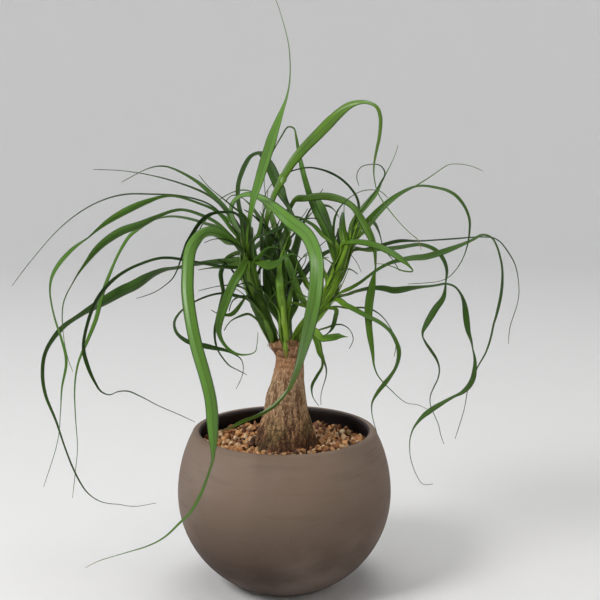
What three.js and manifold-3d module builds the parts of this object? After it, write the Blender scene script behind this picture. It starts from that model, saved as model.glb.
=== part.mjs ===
// A potted ponytail palm: a ball pot, potting mix, gravel, a swollen trunk and its heads of strap leaves.
// Millimetres, +Z up, the origin at the centre of the pot's foot, the front towards -Y.
import * as THREE from 'three';
import { mergeVertices } from 'three/addons/utils/BufferGeometryUtils.js';
import Module from 'manifold-3d';

const wasm = await Module();
wasm.setup();

// Pot: two elliptical arcs that meet at its widest level, with a rounded open rim.
const POT_RADIUS = 109;
const POT_WIDEST_Z = 97;
const POT_RISE_UPPER = 123;
const POT_RISE_LOWER = 105.6;
const POT_WALL = 6;
const RIM_Z = 160;
const POT_FLOOR = 9;
const POT_SIDES = 30;

// Filling: potting mix up to just under the gravel, then pebbles sunk in their own layer.
const CLEARANCE = 0.3;
const MIX_TOP = 138;
const GRAVEL_TOP = 145;
const PEBBLE_COUNT = 100;
const PEBBLE_RADIUS = [4.8, 7.4];
const PEBBLE_RING = [39, 86];

// Trunk: each level holds its height, its radius and its lean to the right.
const TRUNK_LEVELS = [
  [140, 31.5, 1], [147, 32, 1], [158, 29.5, 1.2], [168, 27, 1.5], [177, 24, 1.6], [186, 22, 1.7],
  [199, 20, 1.8],
  [212, 17, 3.4], [222, 15.6, 4.6], [232, 14.4, 5.6], [240, 14.6, 5.8], [247, 16.4, 4], [251, 18, 2.4],
  [252, 17.6, 2.2],
];
const TRUNK_SIDES = 28;
const TRUNK_LOBES = 7;
const TRUNK_LOBE_DEPTH = 0.055;
const ROOT_RADIUS = 28;
const ROOT_END_Z = 96;
const TRUNK_HOLE_RADIUS = 34;
const STEM_SEAT_Z = 252.3;

// The viewer: leaf routes are drawn on an upright plane through the pot's axis, as seen from this eye.
const VIEW_DISTANCE = 1400;
const VIEW_PITCH = 11 * Math.PI / 180;
const DRAWING_CENTRE = new THREE.Vector3(16, 0, 296.7);
const DRAWING_MIDDLE = [16, 300];
const DRAWING_UP = new THREE.Vector3(0, Math.sin(VIEW_PITCH), Math.cos(VIEW_PITCH));
const EYE = DRAWING_CENTRE.clone().add(
  new THREE.Vector3(0, -Math.cos(VIEW_PITCH), Math.sin(VIEW_PITCH)).multiplyScalar(VIEW_DISTANCE));

// Leaves: spacing of the points kept along each one, and the shape of a blade's section.
const LEAF_STEP = 10;
const BEND_PER_SPAN = 0.42;
const TWIST_SHARE = 0.6;
const STEPS_PER_SPAN = 5;
const BLADE_THICKNESS = 1.3;
const TIP_THICKNESS = 0.8;
const TIP_WIDTH = 1.2;
const BLADE_FOLD = 0.16;
const TAPER_POWER = 0.7;
const SHEATH_SHARE = 0.12;

// Clearing: how leaves that would cross are slid apart along the line of sight.
const CLEAR_ROUNDS = 60;
const CLEAR_MARGIN = 2;
const CLEAR_MARGIN_HEADS = 6;
const CLEAR_WIDTH_SHARE = 0.45;
const HELD_LENGTH = 14;
const FREE_LENGTH = 60;

// Stems: the route of each head's sheathed stem as [across, back, up], and its radius at each point.
const STEMS = {
  left: {
    route: [[-9.8, -4, STEM_SEAT_Z], [-12.5, -5, 262], [-21.5, -7, 284], [-30, -9, 308],
      [-35, -10, 328], [-38, -10, 346]],
    radii: [5.2, 5.8, 6.8, 7.6, 7.8, 3.6],
  },
  right: {
    route: [[11.5, -2, STEM_SEAT_Z], [15.5, -2, 262], [32, -4, 284], [46, -5, 306],
      [57, -5, 330], [65, -5, 354]],
    radii: [5, 5.6, 6.5, 7, 6.8, 3.2],
  },
  middle: {
    route: [[1, 11, STEM_SEAT_Z], [1, 14, 266], [0, 22, 290], [-1, 28, 312], [-2, 32, 334]],
    radii: [5.4, 5.8, 6.6, 6.8, 3.2],
  },
  front: {
    route: [[1.5, -14.5, STEM_SEAT_Z], [1, -17, 262], [-0.5, -20, 280], [-1.5, -22, 296]],
    radii: [2.8, 3.2, 3.2, 2],
  },
};
const STEM_SIDES = 10;
const SLIVER = 0.02;

// Traced leaves. Each is [width, where it starts to narrow, where it leaves the stem, depths, route]:
// the depths are spread evenly from its root to its tip, in mm towards the viewer, and a route point
// is [across, up, turn] on the drawing, with turn 0 for a blade that lies flat to the viewer and 90
// for one that shows its edge.
const LEFT_LEAVES = [
  [3.8, 0.5, 0.95, [8, 0, -20, -45, -70], [[-44, 360, 60], [-69, 392, 65], [-99, 403.5, 70],
    [-134, 406, 70], [-164, 405, 70], [-194, 394, 65], [-224, 372, 65], [-254, 338, 65],
    [-272, 314, 65]]],
  [7, 0.55, 0.9, [10, 30, 55, 75, 85, 80, 75], [[-44, 355, 60], [-64, 385, 68], [-84, 396, 74],
    [-112, 404, 78], [-134, 399, 50], [-154, 391, 12], [-174, 379.5, 40], [-194, 364, 86],
    [-214, 348, 125], [-229, 329, 122], [-234, 310, 98], [-230, 285, 105], [-222, 260, 125],
    [-217.5, 238, 148], [-222, 212, 135], [-223.5, 188, 105], [-227, 156, 100], [-240.5, 113, 110]]],
  [8.5, 0.6, 0.85, [12, 5, -10, -25, -35], [[-44, 350, 60], [-64, 374, 68], [-84, 385, 72],
    [-104, 390, 74], [-124, 384, 66], [-144, 375, 32], [-164, 368, 12], [-184, 353.5, 35],
    [-199, 335, 62], [-209, 321, 85], [-220.5, 297, 105], [-221, 268, 105], [-216.5, 243, 110],
    [-211, 228, 110]]],
  [7, 0.55, 0.8, [-6, -40, -70, -85, -80], [[-39, 342, 55], [-59, 369, 60], [-79, 377, 66],
    [-99, 382.5, 72], [-117, 383.5, 76], [-134, 378, 95], [-154, 365, 122], [-162, 353, 116],
    [-167, 344, 108], [-176, 323, 120], [-183, 303, 130], [-188, 282, 140], [-197, 259, 140],
    [-206, 237, 125], [-209.5, 212, 120], [-208.5, 182, 115], [-206.5, 153, 115], [-208.7, 128, 115],
    [-211.5, 102, 115]]],
  [11.5, 0.5, 0.7, [-6, -50, -90, -105, -95, -80, -75], [[-44, 336, 40], [-75, 337, 70],
    [-106, 332, 78], [-119, 330, 68], [-134, 324, 50], [-149, 315, 15], [-164, 308, 10],
    [-184, 296, 35], [-204, 284, 68], [-222, 271, 60], [-237, 250, 65], [-241, 228, 60],
    [-238, 205, 60], [-228, 180, 65], [-219, 153, 70], [-209, 128, 55], [-197, 108, 60], [-182, 98, 70],
    [-164, 95.5, 75], [-149, 93.5, 80], [-128, 97, 80]]],
  [6, 0.65, 0.6, [8, 30, 40, 45, 55, 60], [[-34, 328, 40], [-62, 333, 60], [-88, 337.5, 65],
    [-119, 342, 65], [-144, 335.5, 65], [-164, 325, 60], [-180, 310, 50], [-192, 289, 55],
    [-200, 257, 60], [-196, 234, 40], [-186, 213, 60], [-178, 205, 80], [-170, 207, 80],
    [-158, 209.5, 60], [-141, 202.5, 60], [-126, 194.5, 65], [-104, 185, 65], [-89, 178, 65]]],
  [5, 0.6, 0.95, [14, 40, 75, 95], [[-40, 362, 50], [-44, 384, 55], [-52, 388, 60], [-62, 388, 60],
    [-71, 387, 50], [-79, 383, 40], [-84, 378, 35], [-89, 371, 40], [-94, 363, 50], [-99, 354, 60],
    [-107, 330, 65], [-113, 320, 60], [-129, 308, 60], [-148, 301.5, 60]]],
  [11.8, 0.55, 0.9, [10, 62, 92, 108, 116, 116, 108, 85, 60], [[-39, 340, 0], [-47, 350, 0],
    [-56, 360, 15], [-66, 367, 30], [-75, 368, 35], [-81, 366, 30], [-86, 362, 15], [-92, 354, 5],
    [-95, 344, 0], [-96, 332, 0], [-96.5, 308, 0], [-93, 280, 0], [-87, 252, 5], [-79, 225, 15],
    [-73, 200, 18], [-71, 175, 15], [-70, 152, 50], [-70.5, 142, 80], [-74, 130, 84], [-81, 110, 66],
    [-92, 89, 60], [-104, 77, 66], [-119, 63, 68], [-136, 54, 68], [-159, 47, 68], [-184, 39.5, 68],
    [-199, 32, 68]]],
  [4.5, 0.45, 0.9, [0, -30, -60, -90], [[-44, 372, 50], [-59, 391, 55], [-77, 406, 60], [-104, 417, 60],
    [-134, 425, 60], [-164, 429.5, 60], [-191, 430.5, 60]]],
  [7, 0.5, 0.95, [-4, -40, -80, -110], [[-38, 354, 30], [-44, 365, 30], [-55, 387, 40], [-69, 403, 45],
    [-86, 418, 50], [-106, 429.5, 50], [-121, 434, 50], [-136, 431.5, 50], [-154, 422.5, 50],
    [-163, 417.5, 50]]],
  [4.5, 0.4, 0.95, [18, 45, 70], [[-36, 378, 50], [-53, 395, 55], [-74, 412, 60], [-85, 425, 60]]],
  [10.5, 0.8, 0.95, [-8, -20, -26, -14, 10], [[-36, 360, 62], [-40, 378, 66], [-44, 392, 67],
    [-45.5, 404, 67], [-45, 416, 66], [-41, 429, 62], [-36, 439, 62], [-30, 446, 66], [-25, 447, 72],
    [-20, 442, 50], [-14, 433, 12], [-8, 420, 0], [-2, 406, 0], [4, 394, 0], [10, 384, 10],
    [15, 374, 30]]],
  [10, 0.5, 0.95, [4, 32, 62, 84, 92, 92, 84], [[-34, 350, 70], [-34, 368, 70], [-34, 380, 65],
    [-32, 390, 60], [-30, 402, 50], [-26, 415, 35], [-18, 442, 10], [-9, 470, 15], [-4, 483, 40],
    [3, 503, 74], [6, 525, 84], [5, 552, 82], [0, 575, 78], [-7, 597, 75], [-12, 606, 75]]],
  [12.8, 0.84, 0.9, [4, 10, 34, 82, 140, 164, 158, 126, 66, 14, -12], [[-43, 362, 60], [-49, 378, 68],
    [-52.5, 389, 72], [-50.5, 397, 72], [-44, 403, 74], [-36, 405, 72], [-27, 403, 64],
    [-18, 398.5, 54], [-9, 392, 42], [0, 384, 26], [8, 377, 10], [16, 371.5, 0], [22, 366, 0],
    [27, 358, 0], [31, 347, 0], [33, 335, 0], [32.5, 319, 0], [31, 304, 5], [28, 288, 10],
    [24, 271, 24], [19.5, 254, 44], [15, 238, 58], [10, 224, 66], [5, 212, 78], [-1, 204, 84],
    [-11, 194, 82], [-26, 185, 66], [-41, 179, 35], [-52, 173, 20], [-62, 169, 30], [-71, 163, 45]]],
  [9, 0.6, 0.75, [16, 46, 62, 60, 50], [[-24, 333, 40], [-38, 334, 30], [-44, 328, 0], [-49, 320, 0],
    [-54, 310, 10], [-58, 300, 15], [-65, 280, 25], [-66, 270, 50], [-64, 262, 60], [-56, 251, 50],
    [-44, 245, 50], [-31, 247, 60], [-27.5, 252, 60], [-26, 268, 60]]],
  [6, 0.7, 0.4, [12, 36, 46, 40, 30, 24], [[-26, 290, 35], [-44, 302, 45], [-64, 306.5, 75],
    [-89, 298.5, 80], [-106, 285, 110], [-109, 271, 115], [-97, 259, 140], [-82, 255, 150],
    [-69, 252, 155], [-56, 249, 145], [-43, 241, 110], [-41, 227, 110], [-48, 211, 110]]],
  [5.5, 0.75, 0.8, [-4, -20, -16, -6, 0], [[-44, 342, 40], [-54, 344, 35], [-62, 330, 25],
    [-63, 320, 45], [-60, 310, 40], [-65, 287, 50], [-69, 268, 60], [-66, 250, 75], [-55, 235, 45],
    [-48, 231, 20], [-37, 225, 50]]],
  [5, 0.5, 0.7, [-4, -16, -28], [[-44, 332, 30], [-69, 332.5, 10], [-86, 330, 50]]],
  [6.5, 0.6, 0.5, [12, 22, 28, 32], [[-22, 297, 20], [-34, 292, 15], [-49, 286, 30], [-62, 285, 35],
    [-73, 290, 55]]],
  [4, 0.55, 0.25, [10, 10, 6], [[-26, 275, 40], [-38, 284.5, 45], [-53, 279, 30], [-60, 269, 35]]],
  [3.5, 0.4, 0.45, [4, -4, -12], [[-30, 297, 40], [-47, 313, 50], [-64, 314, 55], [-86, 309, 60]]],
  [3.5, 0.6, 0.45, [18, 14, 8], [[-32, 293, 40], [-44, 300, 50], [-52, 298, 40], [-55, 288, 20]]],
  [7, 0.7, 0.7, [2, 12, 20], [[-26, 328, 30], [-16, 332, 20], [-9, 338, 15], [-4, 342, 50]]],
  [5, 0.6, 0.85, [2, 0, -8], [[-29, 356, 40], [-24, 370, 50], [-22, 382, 50], [-18, 396, 50],
    [-16, 410, 55]]],
  [7.5, 0.6, 0.75, [18, 42, 54, 50], [[-30, 334, 30], [-20, 333, 25], [-8, 336, 10], [0, 343, 20],
    [10, 346, 50], [18, 341, 65]]],
];
const RIGHT_LEAVES = [
  [4, 0.5, 0.85, [-6, -60, -95, -110, -110], [[72, 347, 40], [99, 355, 20], [116, 359, 25],
    [136, 359, 70], [168, 361, 70], [197, 363, 70], [213, 360.5, 60], [224, 348, 50], [232, 332.5, 50],
    [235, 310, 55], [233, 295, 55], [226, 273, 50], [224.5, 256, 60]]],
  [6.5, 0.6, 0.45, [14, 40, 50, 40, 20, 10, 0], [[61, 308, 50], [76, 317, 65], [92, 329, 65],
    [107, 337, 60], [126, 341.5, 40], [141, 343, 18], [159, 348, 24], [178, 355, 60], [193, 362, 74],
    [201, 365.5, 80], [209, 361, 78], [214, 350, 78], [218, 331, 76], [217, 308, 62], [213, 288, 50],
    [209.6, 276.5, 70], [206, 260, 50], [200.5, 245, 60], [193, 232, 55], [184, 211, 60],
    [180, 190, 60], [171, 161, 60]]],
  [7.2, 0.78, 0.45, [-6, -40, -60, -60, -40, -10, 10], [[54, 297, 50], [66, 306, 64], [84, 311, 60],
    [98, 311.5, 38], [111, 309.5, 5], [126, 311.5, 48], [149, 314, 78], [164, 316, 78], [174, 310, 78],
    [180, 296, 52], [182, 282, 8], [184, 268, 50], [188, 255, 80], [190.5, 238, 118], [188, 220, 148],
    [179.5, 209, 132], [168, 203, 104], [154, 195, 138], [140, 185, 138], [130, 173, 112],
    [126, 160, 95], [127, 140, 95], [134.6, 121, 100], [140, 115.5, 100], [149, 116, 100]]],
  [7, 0.65, 0.8, [0, -2, 6, 12, 10, 8], [[69, 346, 60], [92, 350, 58], [111, 351.6, 52], [126, 354, 58],
    [137.6, 355, 62], [149, 351, 52], [157, 344, 50], [162, 332, 62], [162, 320, 80], [159, 303, 135],
    [153, 294, 162], [145, 281, 162], [139.5, 271, 125], [138.5, 265, 98], [143, 254, 60],
    [150, 245, 50], [155, 233, 75], [154, 222, 75], [149, 211, 60], [145.5, 199, 80], [149, 188, 60],
    [154, 177, 60], [157, 164, 60], [160, 156, 60]]],
  [5, 0.6, 0.9, [10, 50, 85, 100, 105, 100, 90], [[80, 375, 10], [103, 398, 50], [118, 408, 62],
    [130, 413, 70], [141, 414, 70], [157, 411, 60], [168, 407, 50], [178, 397, 55], [185, 382, 50],
    [185, 365, 55], [182, 350, 70], [176, 336, 70], [168, 326, 70], [160, 320, 70], [146, 317.5, 70],
    [124, 316, 70]]],
  [5, 0.45, 0.9, [4, -25, -55, -80], [[76, 360, 30], [86, 375, 40], [101, 392, 60], [116, 405, 65],
    [130, 413, 70], [146, 423, 70], [164, 435, 70], [174, 436, 70], [187, 434, 70], [199, 429, 70]]],
  [7, 0.5, 0.95, [2, -20, -45, -60], [[72, 380, 35], [80, 392, 30], [92, 407, 40], [98, 419, 65],
    [105, 432, 65], [111, 445, 65], [114, 455, 65]]],
  [3, 0.6, 0.9, [6, 12, 18, 24], [[70, 378, 50], [79, 391, 50], [94, 412, 50], [101, 426, 50],
    [99, 433, 50], [92, 435.5, 50], [82, 435, 50], [75, 431, 50], [72.5, 422, 50], [75, 414, 50]]],
  [3, 0.5, 0.65, [6, 24, 46, 60], [[51, 340, 20], [50, 355, 20], [49.5, 370, 30], [51.6, 384, 35],
    [57, 394, 50], [66, 402.5, 60], [78, 409, 60], [92, 410, 60], [100, 406.5, 60], [104, 402, 60]]],
  [6.5, 0.76, 0.4, [14, 50, 72, 84, 86, 84], [[51, 298, 30], [61, 295, 35], [71, 290, 40],
    [84, 283, 45], [95, 277.5, 52], [105, 269.5, 60], [111, 260, 58], [114.5, 249, 40], [113, 237, 62],
    [109, 228.5, 72], [103, 220, 50], [94, 208.5, 30], [88.5, 199, 48], [87.5, 190, 80], [90, 177, 60],
    [93, 167, 60]]],
  [3, 0.5, 0.4, [8, 0, -10, -20], [[52, 286, 40], [68, 291.5, 50], [81, 292, 55], [92.5, 288, 60],
    [102, 279, 60], [109, 267, 60], [112, 256, 60], [110, 243, 60]]],
  [6.5, 0.7, 0.75, [14, 54, 74, 78, 72], [[56, 355, 45], [71, 358.5, 40], [86, 356.5, 20],
    [101, 351, 15], [113, 344, 20], [123, 336.5, 50], [129.5, 331, 75], [126, 327.5, 75],
    [116, 330, 60], [104, 335, 60], [90, 336.5, 70]]],
  [7, 0.84, 0.15, [10, 26, 44], [[26, 268, 20], [34, 262, 15], [44, 262, 0], [57, 263.5, 30],
    [64, 263, 30]]],
  [3, 0.5, 0.15, [4, 0, -8, -12], [[34, 264, 40], [43, 272, 50], [53, 275.5, 50], [61, 274, 50],
    [68, 267, 50], [69, 259, 50], [65, 251, 50]]],
  [6, 0.45, 0.12, [10, 24, 30, 30], [[28, 258, 20], [34, 250, 0], [38, 242, 45], [41, 234, 70],
    [43, 228, 72], [40, 217, 70], [37, 205, 70], [37, 195, 70]]],
  [4, 0.75, 0.2, [4, 10, 12, 12], [[32, 255, 40], [38, 240, 60], [37, 230, 55], [32, 223, 30],
    [28, 215, 30], [27.5, 207, 70], [31, 199, 60], [35, 194, 50]]],
  [4.5, 0.8, 0.35, [20, 36, 38], [[51, 290, 10], [50.5, 280, 10], [47, 270, 35], [39, 263.5, 40]]],
  [7, 0.5, 0.6, [2, -5, -25, -40, -48], [[50, 334, 45], [47, 352, 40], [41.7, 368, 25], [31, 390, 15],
    [22.5, 414, 35], [16.5, 437, 45], [13, 456, 50], [10.5, 470, 60], [6.5, 475, 70], [1, 469, 70],
    [-8, 454, 60], [-15, 440, 70], [-19.5, 425, 60], [-19, 408, 60], [-16, 392, 60]]],
  [4.5, 0.5, 0.9, [10, -8, -20, -22], [[66, 372, 40], [75, 393, 55], [68.5, 410, 60], [51.6, 425, 60],
    [29, 432.4, 60], [11, 430, 55], [-6, 422, 55], [-19.5, 404, 55], [-21, 381, 55]]],
  [8, 0.6, 0.25, [0, 2, -2, -8], [[21, 285, 30], [15, 304, 20], [10, 320, 10], [4, 337, 10],
    [-2, 352, 20], [-6, 364, 40], [-9, 374, 50]]],
  [6.5, 0.6, 0.35, [-4, -12, -22, -30], [[25, 300, 30], [22, 316, 35], [15, 331, 20], [8, 344, 20],
    [1, 357, 30], [-1, 370, 50]]],
  [6, 0.6, 0.3, [4, 10, 12], [[24, 280, 10], [15, 288, 10], [7, 295, 20], [0, 299, 40], [-4, 299, 50]]],
];
const FRONT_LEAVES = [
  [8.5, 0.55, 0.3, [18, 20, 18, 10], [[0, 276, 0], [-2, 295, 0], [-4, 312, 5], [-4.5, 328, 5],
    [-3.5, 340, 10], [0, 352, 25], [4, 362, 40], [8, 370, 50]]],
  [5.5, 0.5, 0.25, [16, 14, 8], [[3.5, 275, 25], [5, 295, 20], [8, 312, 25], [11, 327, 40],
    [14, 340, 50]]],
];
const MIDDLE_LEAVES = [
  [10.5, 0.5, 0.9, [-26, 0, 45, 80, 95, 100, 95, 85, 75], [[-19, 365, 60], [-13, 398, 60],
    [-4, 418, 50], [6, 435, 40], [18, 450, 25], [33, 465, 10], [49, 481, 0], [61, 492, 20],
    [70, 497, 45], [80, 498.5, 60], [88, 496.5, 62], [95, 491, 55], [97, 480, 50], [96, 465, 50],
    [93, 450, 50], [90.5, 437, 62], [90, 425, 80], [93.5, 408, 78], [103, 393, 68], [116, 377, 62],
    [127, 366, 62], [134, 360, 50], [137, 350, 50]]],
  [8.5, 0.75, 0.85, [-30, -16, 10, 34, 38, 36, 34, 32], [[-9, 355, 60], [8, 397, 55], [16, 401, 45],
    [34, 404, 30], [49, 403, 25], [61, 399, 40], [69, 394, 50], [76, 384, 35], [83, 371, 15],
    [88.5, 360, 40], [91.5, 348, 70], [91.5, 336, 80], [90.5, 323, 110], [87.5, 309.5, 165],
    [85, 294, 170], [85, 279, 140], [86.5, 264, 135], [89, 248, 130], [90, 236, 105], [92.5, 227, 100],
    [99, 218, 100], [107, 210, 100], [116, 201.5, 100], [125, 196, 100], [133, 195.4, 100],
    [143, 191, 100]]],
  [9, 0.6, 0.15, [-14, -8, -6, -10, -20], [[-10, 278, 20], [-15, 300, 10], [-17, 322, 5],
    [-16, 344, 15], [-12, 360, 30], [-6, 376, 40], [-2, 388, 55]]],
  [8, 0.6, 0.2, [-18, -16, -22, -32], [[-9, 290, 20], [-11, 308, 15], [-14, 328, 20], [-20, 346, 30],
    [-23, 366, 50], [-20, 388, 60], [-19, 402, 65]]],
  [8, 0.65, 0.2, [-12, -6, -6, -12], [[-6, 285, 25], [-8, 305, 20], [-11, 322, 5], [-16, 340, 0],
    [-19, 352, 20], [-17, 366, 40], [-9, 378, 60]]],
  [7, 0.6, 0.2, [-14, -8, -4, 2], [[10, 275, 30], [12, 298, 20], [10, 316, 15], [12, 332, 25],
    [18, 342, 40], [26, 346, 60]]],
];

// Leaves placed by rule: for each head, how many, the sweep of directions they leave in, counted from the
// right towards the back, and the range of lengths, rises and droops from which each one is drawn.
const PLACED = [
  { head: 'left', count: 6, origin: [0.4, 0.95], azimuth: [65, 118], length: [130, 230], rise: [48, 72],
    droop: [-78, -40], width: [6, 9] },
  { head: 'right', count: 6, origin: [0.4, 0.95], azimuth: [65, 118], length: [130, 230], rise: [48, 72],
    droop: [-78, -40], width: [6, 9] },
  { head: 'middle', count: 8, origin: [0.3, 0.95], azimuth: [55, 125], length: [140, 230], rise: [50, 74],
    droop: [-70, -20], width: [6, 9] },
  { head: 'left', count: 7, origin: [0.2, 0.95], azimuth: [-150, 50], length: [60, 105], rise: [48, 84],
    droop: [-30, 50], width: [5, 8] },
  { head: 'right', count: 7, origin: [0.2, 0.95], azimuth: [120, 330], length: [60, 115], rise: [48, 84],
    droop: [-30, 50], width: [5, 8] },
  { head: 'middle', count: 12, origin: [0.15, 0.95], azimuth: [140, 400], length: [60, 125],
    rise: [56, 86], droop: [-20, 60], width: [5, 8] },
  { head: 'front', count: 1, origin: [0.3, 0.95], azimuth: [215, 330], length: [50, 80], rise: [60, 82],
    droop: [20, 70], width: [4, 6] },
];
const PLACED_SEED = 20417;
const PLACED_POINTS = 12;
const PLACED_NARROWING = 0.45;

// Placed leaves that find no room between the heads, by their order among the placed ones.
const CROWDED = [0, 5, 27, 29, 39, 45];

const POT_COLOUR = 0x7a6b5c;
const MIX_COLOUR = 0x3b2a20;
const GRAVEL_COLOUR = 0xa9764b;
const TRUNK_COLOUR = 0x8a6a52;
const LEAF_COLOURS = { left: 0x4f7d2c, right: 0x456f27, middle: 0x2f5220, front: 0x8fa63a };

// A steady stream of numbers from 0 to 1, the same on every run.
function makeDraws(seed) {
  let state = seed;
  return (low = 0, high = 1) => {
    state = (state * 1664525 + 1013904223) % 4294967296;
    return low + (high - low) * state / 4294967296;
  };
}

function smoothStep(value) {
  const t = Math.min(1, Math.max(0, value));
  return t * t * (3 - 2 * t);
}

// A smooth curve through points of any number of parts, at a fraction between points two and three of
// four.
function splineAt(before, start, end, after, t) {
  return start.map((value, part) => 0.5 * (2 * value + (end[part] - before[part]) * t
    + (2 * before[part] - 5 * value + 4 * end[part] - after[part]) * t * t
    + (3 * value - before[part] - 3 * end[part] + after[part]) * t * t * t));
}

function splineThrough(points, steps) {
  const curve = [];
  const last = points.length - 1;
  for (let span = 0; span < last; span += 1) {
    for (let step = 0; step < steps; step += 1) {
      curve.push(splineAt(points[Math.max(0, span - 1)], points[span], points[span + 1],
        points[Math.min(last, span + 2)], step / steps));
    }
  }
  curve.push(points[last]);
  return curve;
}

function distance(a, b) {
  return Math.hypot(a[0] - b[0], a[1] - b[1], a[2] - b[2]);
}

// The same curve with evenly spaced points, an even number of spans, and the length run at each point.
function evenlySpaced(curve, spacing) {
  const run = [0];
  for (let k = 1; k < curve.length; k += 1) run.push(run[k - 1] + distance(curve[k], curve[k - 1]));
  const length = run[run.length - 1];
  const spans = Math.max(4, 2 * Math.round(length / spacing / 2));
  const points = [];
  let at = 0;
  for (let k = 0; k <= spans; k += 1) {
    const target = length * k / spans;
    while (at < curve.length - 2 && run[at + 1] < target) at += 1;
    const t = (target - run[at]) / (run[at + 1] - run[at]);
    points.push(curve[at].map((value, part) => value + (curve[at + 1][part] - value) * t));
  }
  return { points, length };
}

// A point of the drawing, moved a depth towards the viewer along its own line of sight.
function seen(across, up, depth) {
  const drawn = DRAWING_CENTRE.clone().addScaledVector(DRAWING_UP, up - DRAWING_MIDDLE[1]);
  drawn.x += across - DRAWING_MIDDLE[0];
  return drawn.lerp(EYE, depth / VIEW_DISTANCE);
}

function toSolid(geometry) {
  geometry.deleteAttribute('normal');
  geometry.deleteAttribute('uv');
  const merged = mergeVertices(geometry, 1e-4);
  return new wasm.Manifold(new wasm.Mesh({
    numProp: 3,
    vertProperties: new Float32Array(merged.attributes.position.array),
    triVerts: new Uint32Array(merged.index.array),
  }));
}

function toGeometry(solid) {
  const mesh = solid.getMesh();
  const geometry = new THREE.BufferGeometry();
  geometry.setAttribute('position', new THREE.BufferAttribute(new Float32Array(mesh.vertProperties), 3));
  geometry.setIndex(new THREE.BufferAttribute(new Uint32Array(mesh.triVerts), 1));
  geometry.computeVertexNormals();
  return geometry;
}

// A closed skin over rings of the same number of points, with a flat cap at each end.
function ringsGeometry(rings) {
  const sides = rings[0].length;
  const triangles = [];
  for (let k = 0; k < rings.length - 1; k += 1) {
    for (let side = 0; side < sides; side += 1) {
      const next = (side + 1) % sides;
      const [a, b] = [k * sides + side, k * sides + next];
      const [c, d] = [b + sides, a + sides];
      if (side % 2 === 0) triangles.push(a, b, c, a, c, d);
      else triangles.push(a, b, d, b, c, d);
    }
  }
  const top = (rings.length - 1) * sides;
  for (let side = 1; side < sides - 1; side += 1) {
    triangles.push(0, side + 1, side);
    triangles.push(top, top + side, top + side + 1);
  }
  const geometry = new THREE.BufferGeometry();
  geometry.setAttribute('position', new THREE.BufferAttribute(new Float32Array(rings.flat(2)), 3));
  geometry.setIndex(triangles);
  return geometry;
}

function facingOut(geometry) {
  const index = geometry.index.array;
  const position = geometry.attributes.position;
  const [a, b, c] = [new THREE.Vector3(), new THREE.Vector3(), new THREE.Vector3()];
  let volume = 0;
  for (let k = 0; k < index.length; k += 3) {
    a.fromBufferAttribute(position, index[k]);
    b.fromBufferAttribute(position, index[k + 1]);
    c.fromBufferAttribute(position, index[k + 2]);
    volume += a.dot(b.cross(c));
  }
  if (volume < 0) geometry.setIndex(Array.from(index).reverse());
  return geometry;
}

// The head's stem, as a curve of [x, y, z, radius] points.
function stemCurve(stem) {
  return splineThrough(stem.route.map((point, k) => [...point, stem.radii[k]]), 6);
}

function pointAlong(curve, share) {
  const at = Math.min(curve.length - 1, Math.max(0, share * (curve.length - 1)));
  const low = Math.min(curve.length - 2, Math.floor(at));
  return curve[low].map((value, part) => value + (curve[low + 1][part] - value) * (at - low));
}

function stemSolid(stem) {
  const curve = stemCurve(stem).filter((point, k) => k % 3 === 0);
  const rings = curve.map((point, k) => {
    const before = new THREE.Vector3(...curve[Math.max(0, k - 1)]);
    const after = new THREE.Vector3(...curve[Math.min(curve.length - 1, k + 1)]);
    const along = k === 0 ? new THREE.Vector3(0, 0, 1) : after.sub(before).normalize();
    const across = new THREE.Vector3(1, 0, 0).addScaledVector(along, -along.x).normalize();
    const back = along.clone().cross(across);
    return Array.from({ length: STEM_SIDES }, (unused, side) => {
      const angle = 2 * Math.PI * side / STEM_SIDES;
      return new THREE.Vector3(...point).addScaledVector(across, point[3] * Math.cos(angle))
        .addScaledVector(back, point[3] * Math.sin(angle)).toArray();
    });
  });
  return toSolid(facingOut(ringsGeometry(rings)));
}

// The depth of a traced leaf at a share of its drawn length.
function depthAt(depths, share) {
  const at = share * (depths.length - 1);
  const low = Math.min(depths.length - 2, Math.floor(at));
  const last = depths.length - 1;
  const rows = [low - 1, low, low + 1, low + 2].map((k) => [depths[Math.min(last, Math.max(0, k))]]);
  return splineAt(...rows, at - low)[0];
}

function drawnShares(route) {
  const run = [0];
  for (let k = 1; k < route.length; k += 1) {
    run.push(run[k - 1] + Math.hypot(route[k][0] - route[k - 1][0], route[k][1] - route[k - 1][1]));
  }
  return run.map((value) => value / run[run.length - 1]);
}

// A traced leaf's evenly spaced points and the direction of its width at each.
function tracedLeaf(head, [width, narrowing, origin, depths, route]) {
  const shares = drawnShares(route);
  const root = pointAlong(stemCurve(STEMS[head]), origin);
  const knots = route.map(([across, up, turn], k) => {
    const place = seen(across, up, depthAt(depths, shares[k]));
    return [place.x, place.y, place.z, turn];
  });
  const curve = splineThrough([[root[0], root[1], root[2], route[0][2]], ...knots], 8);
  const { points, length } = evenlySpaced(curve, LEAF_STEP);
  const sides = points.map((point, k) => {
    const before = new THREE.Vector3(...points[Math.max(0, k - 1)]);
    const along = new THREE.Vector3(...points[Math.min(points.length - 1, k + 1)]).sub(before).normalize();
    const sight = EYE.clone().sub(new THREE.Vector3(...point)).normalize();
    const flat = along.clone().cross(sight).normalize();
    const facing = flat.clone().cross(along);
    const turn = point[3] * Math.PI / 180;
    return flat.multiplyScalar(Math.cos(turn)).addScaledVector(facing, Math.sin(turn));
  });
  const centres = points.map((point) => point.slice(0, 3));
  return { head, traced: true, width, narrowing, points: centres, sides, length };
}

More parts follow.
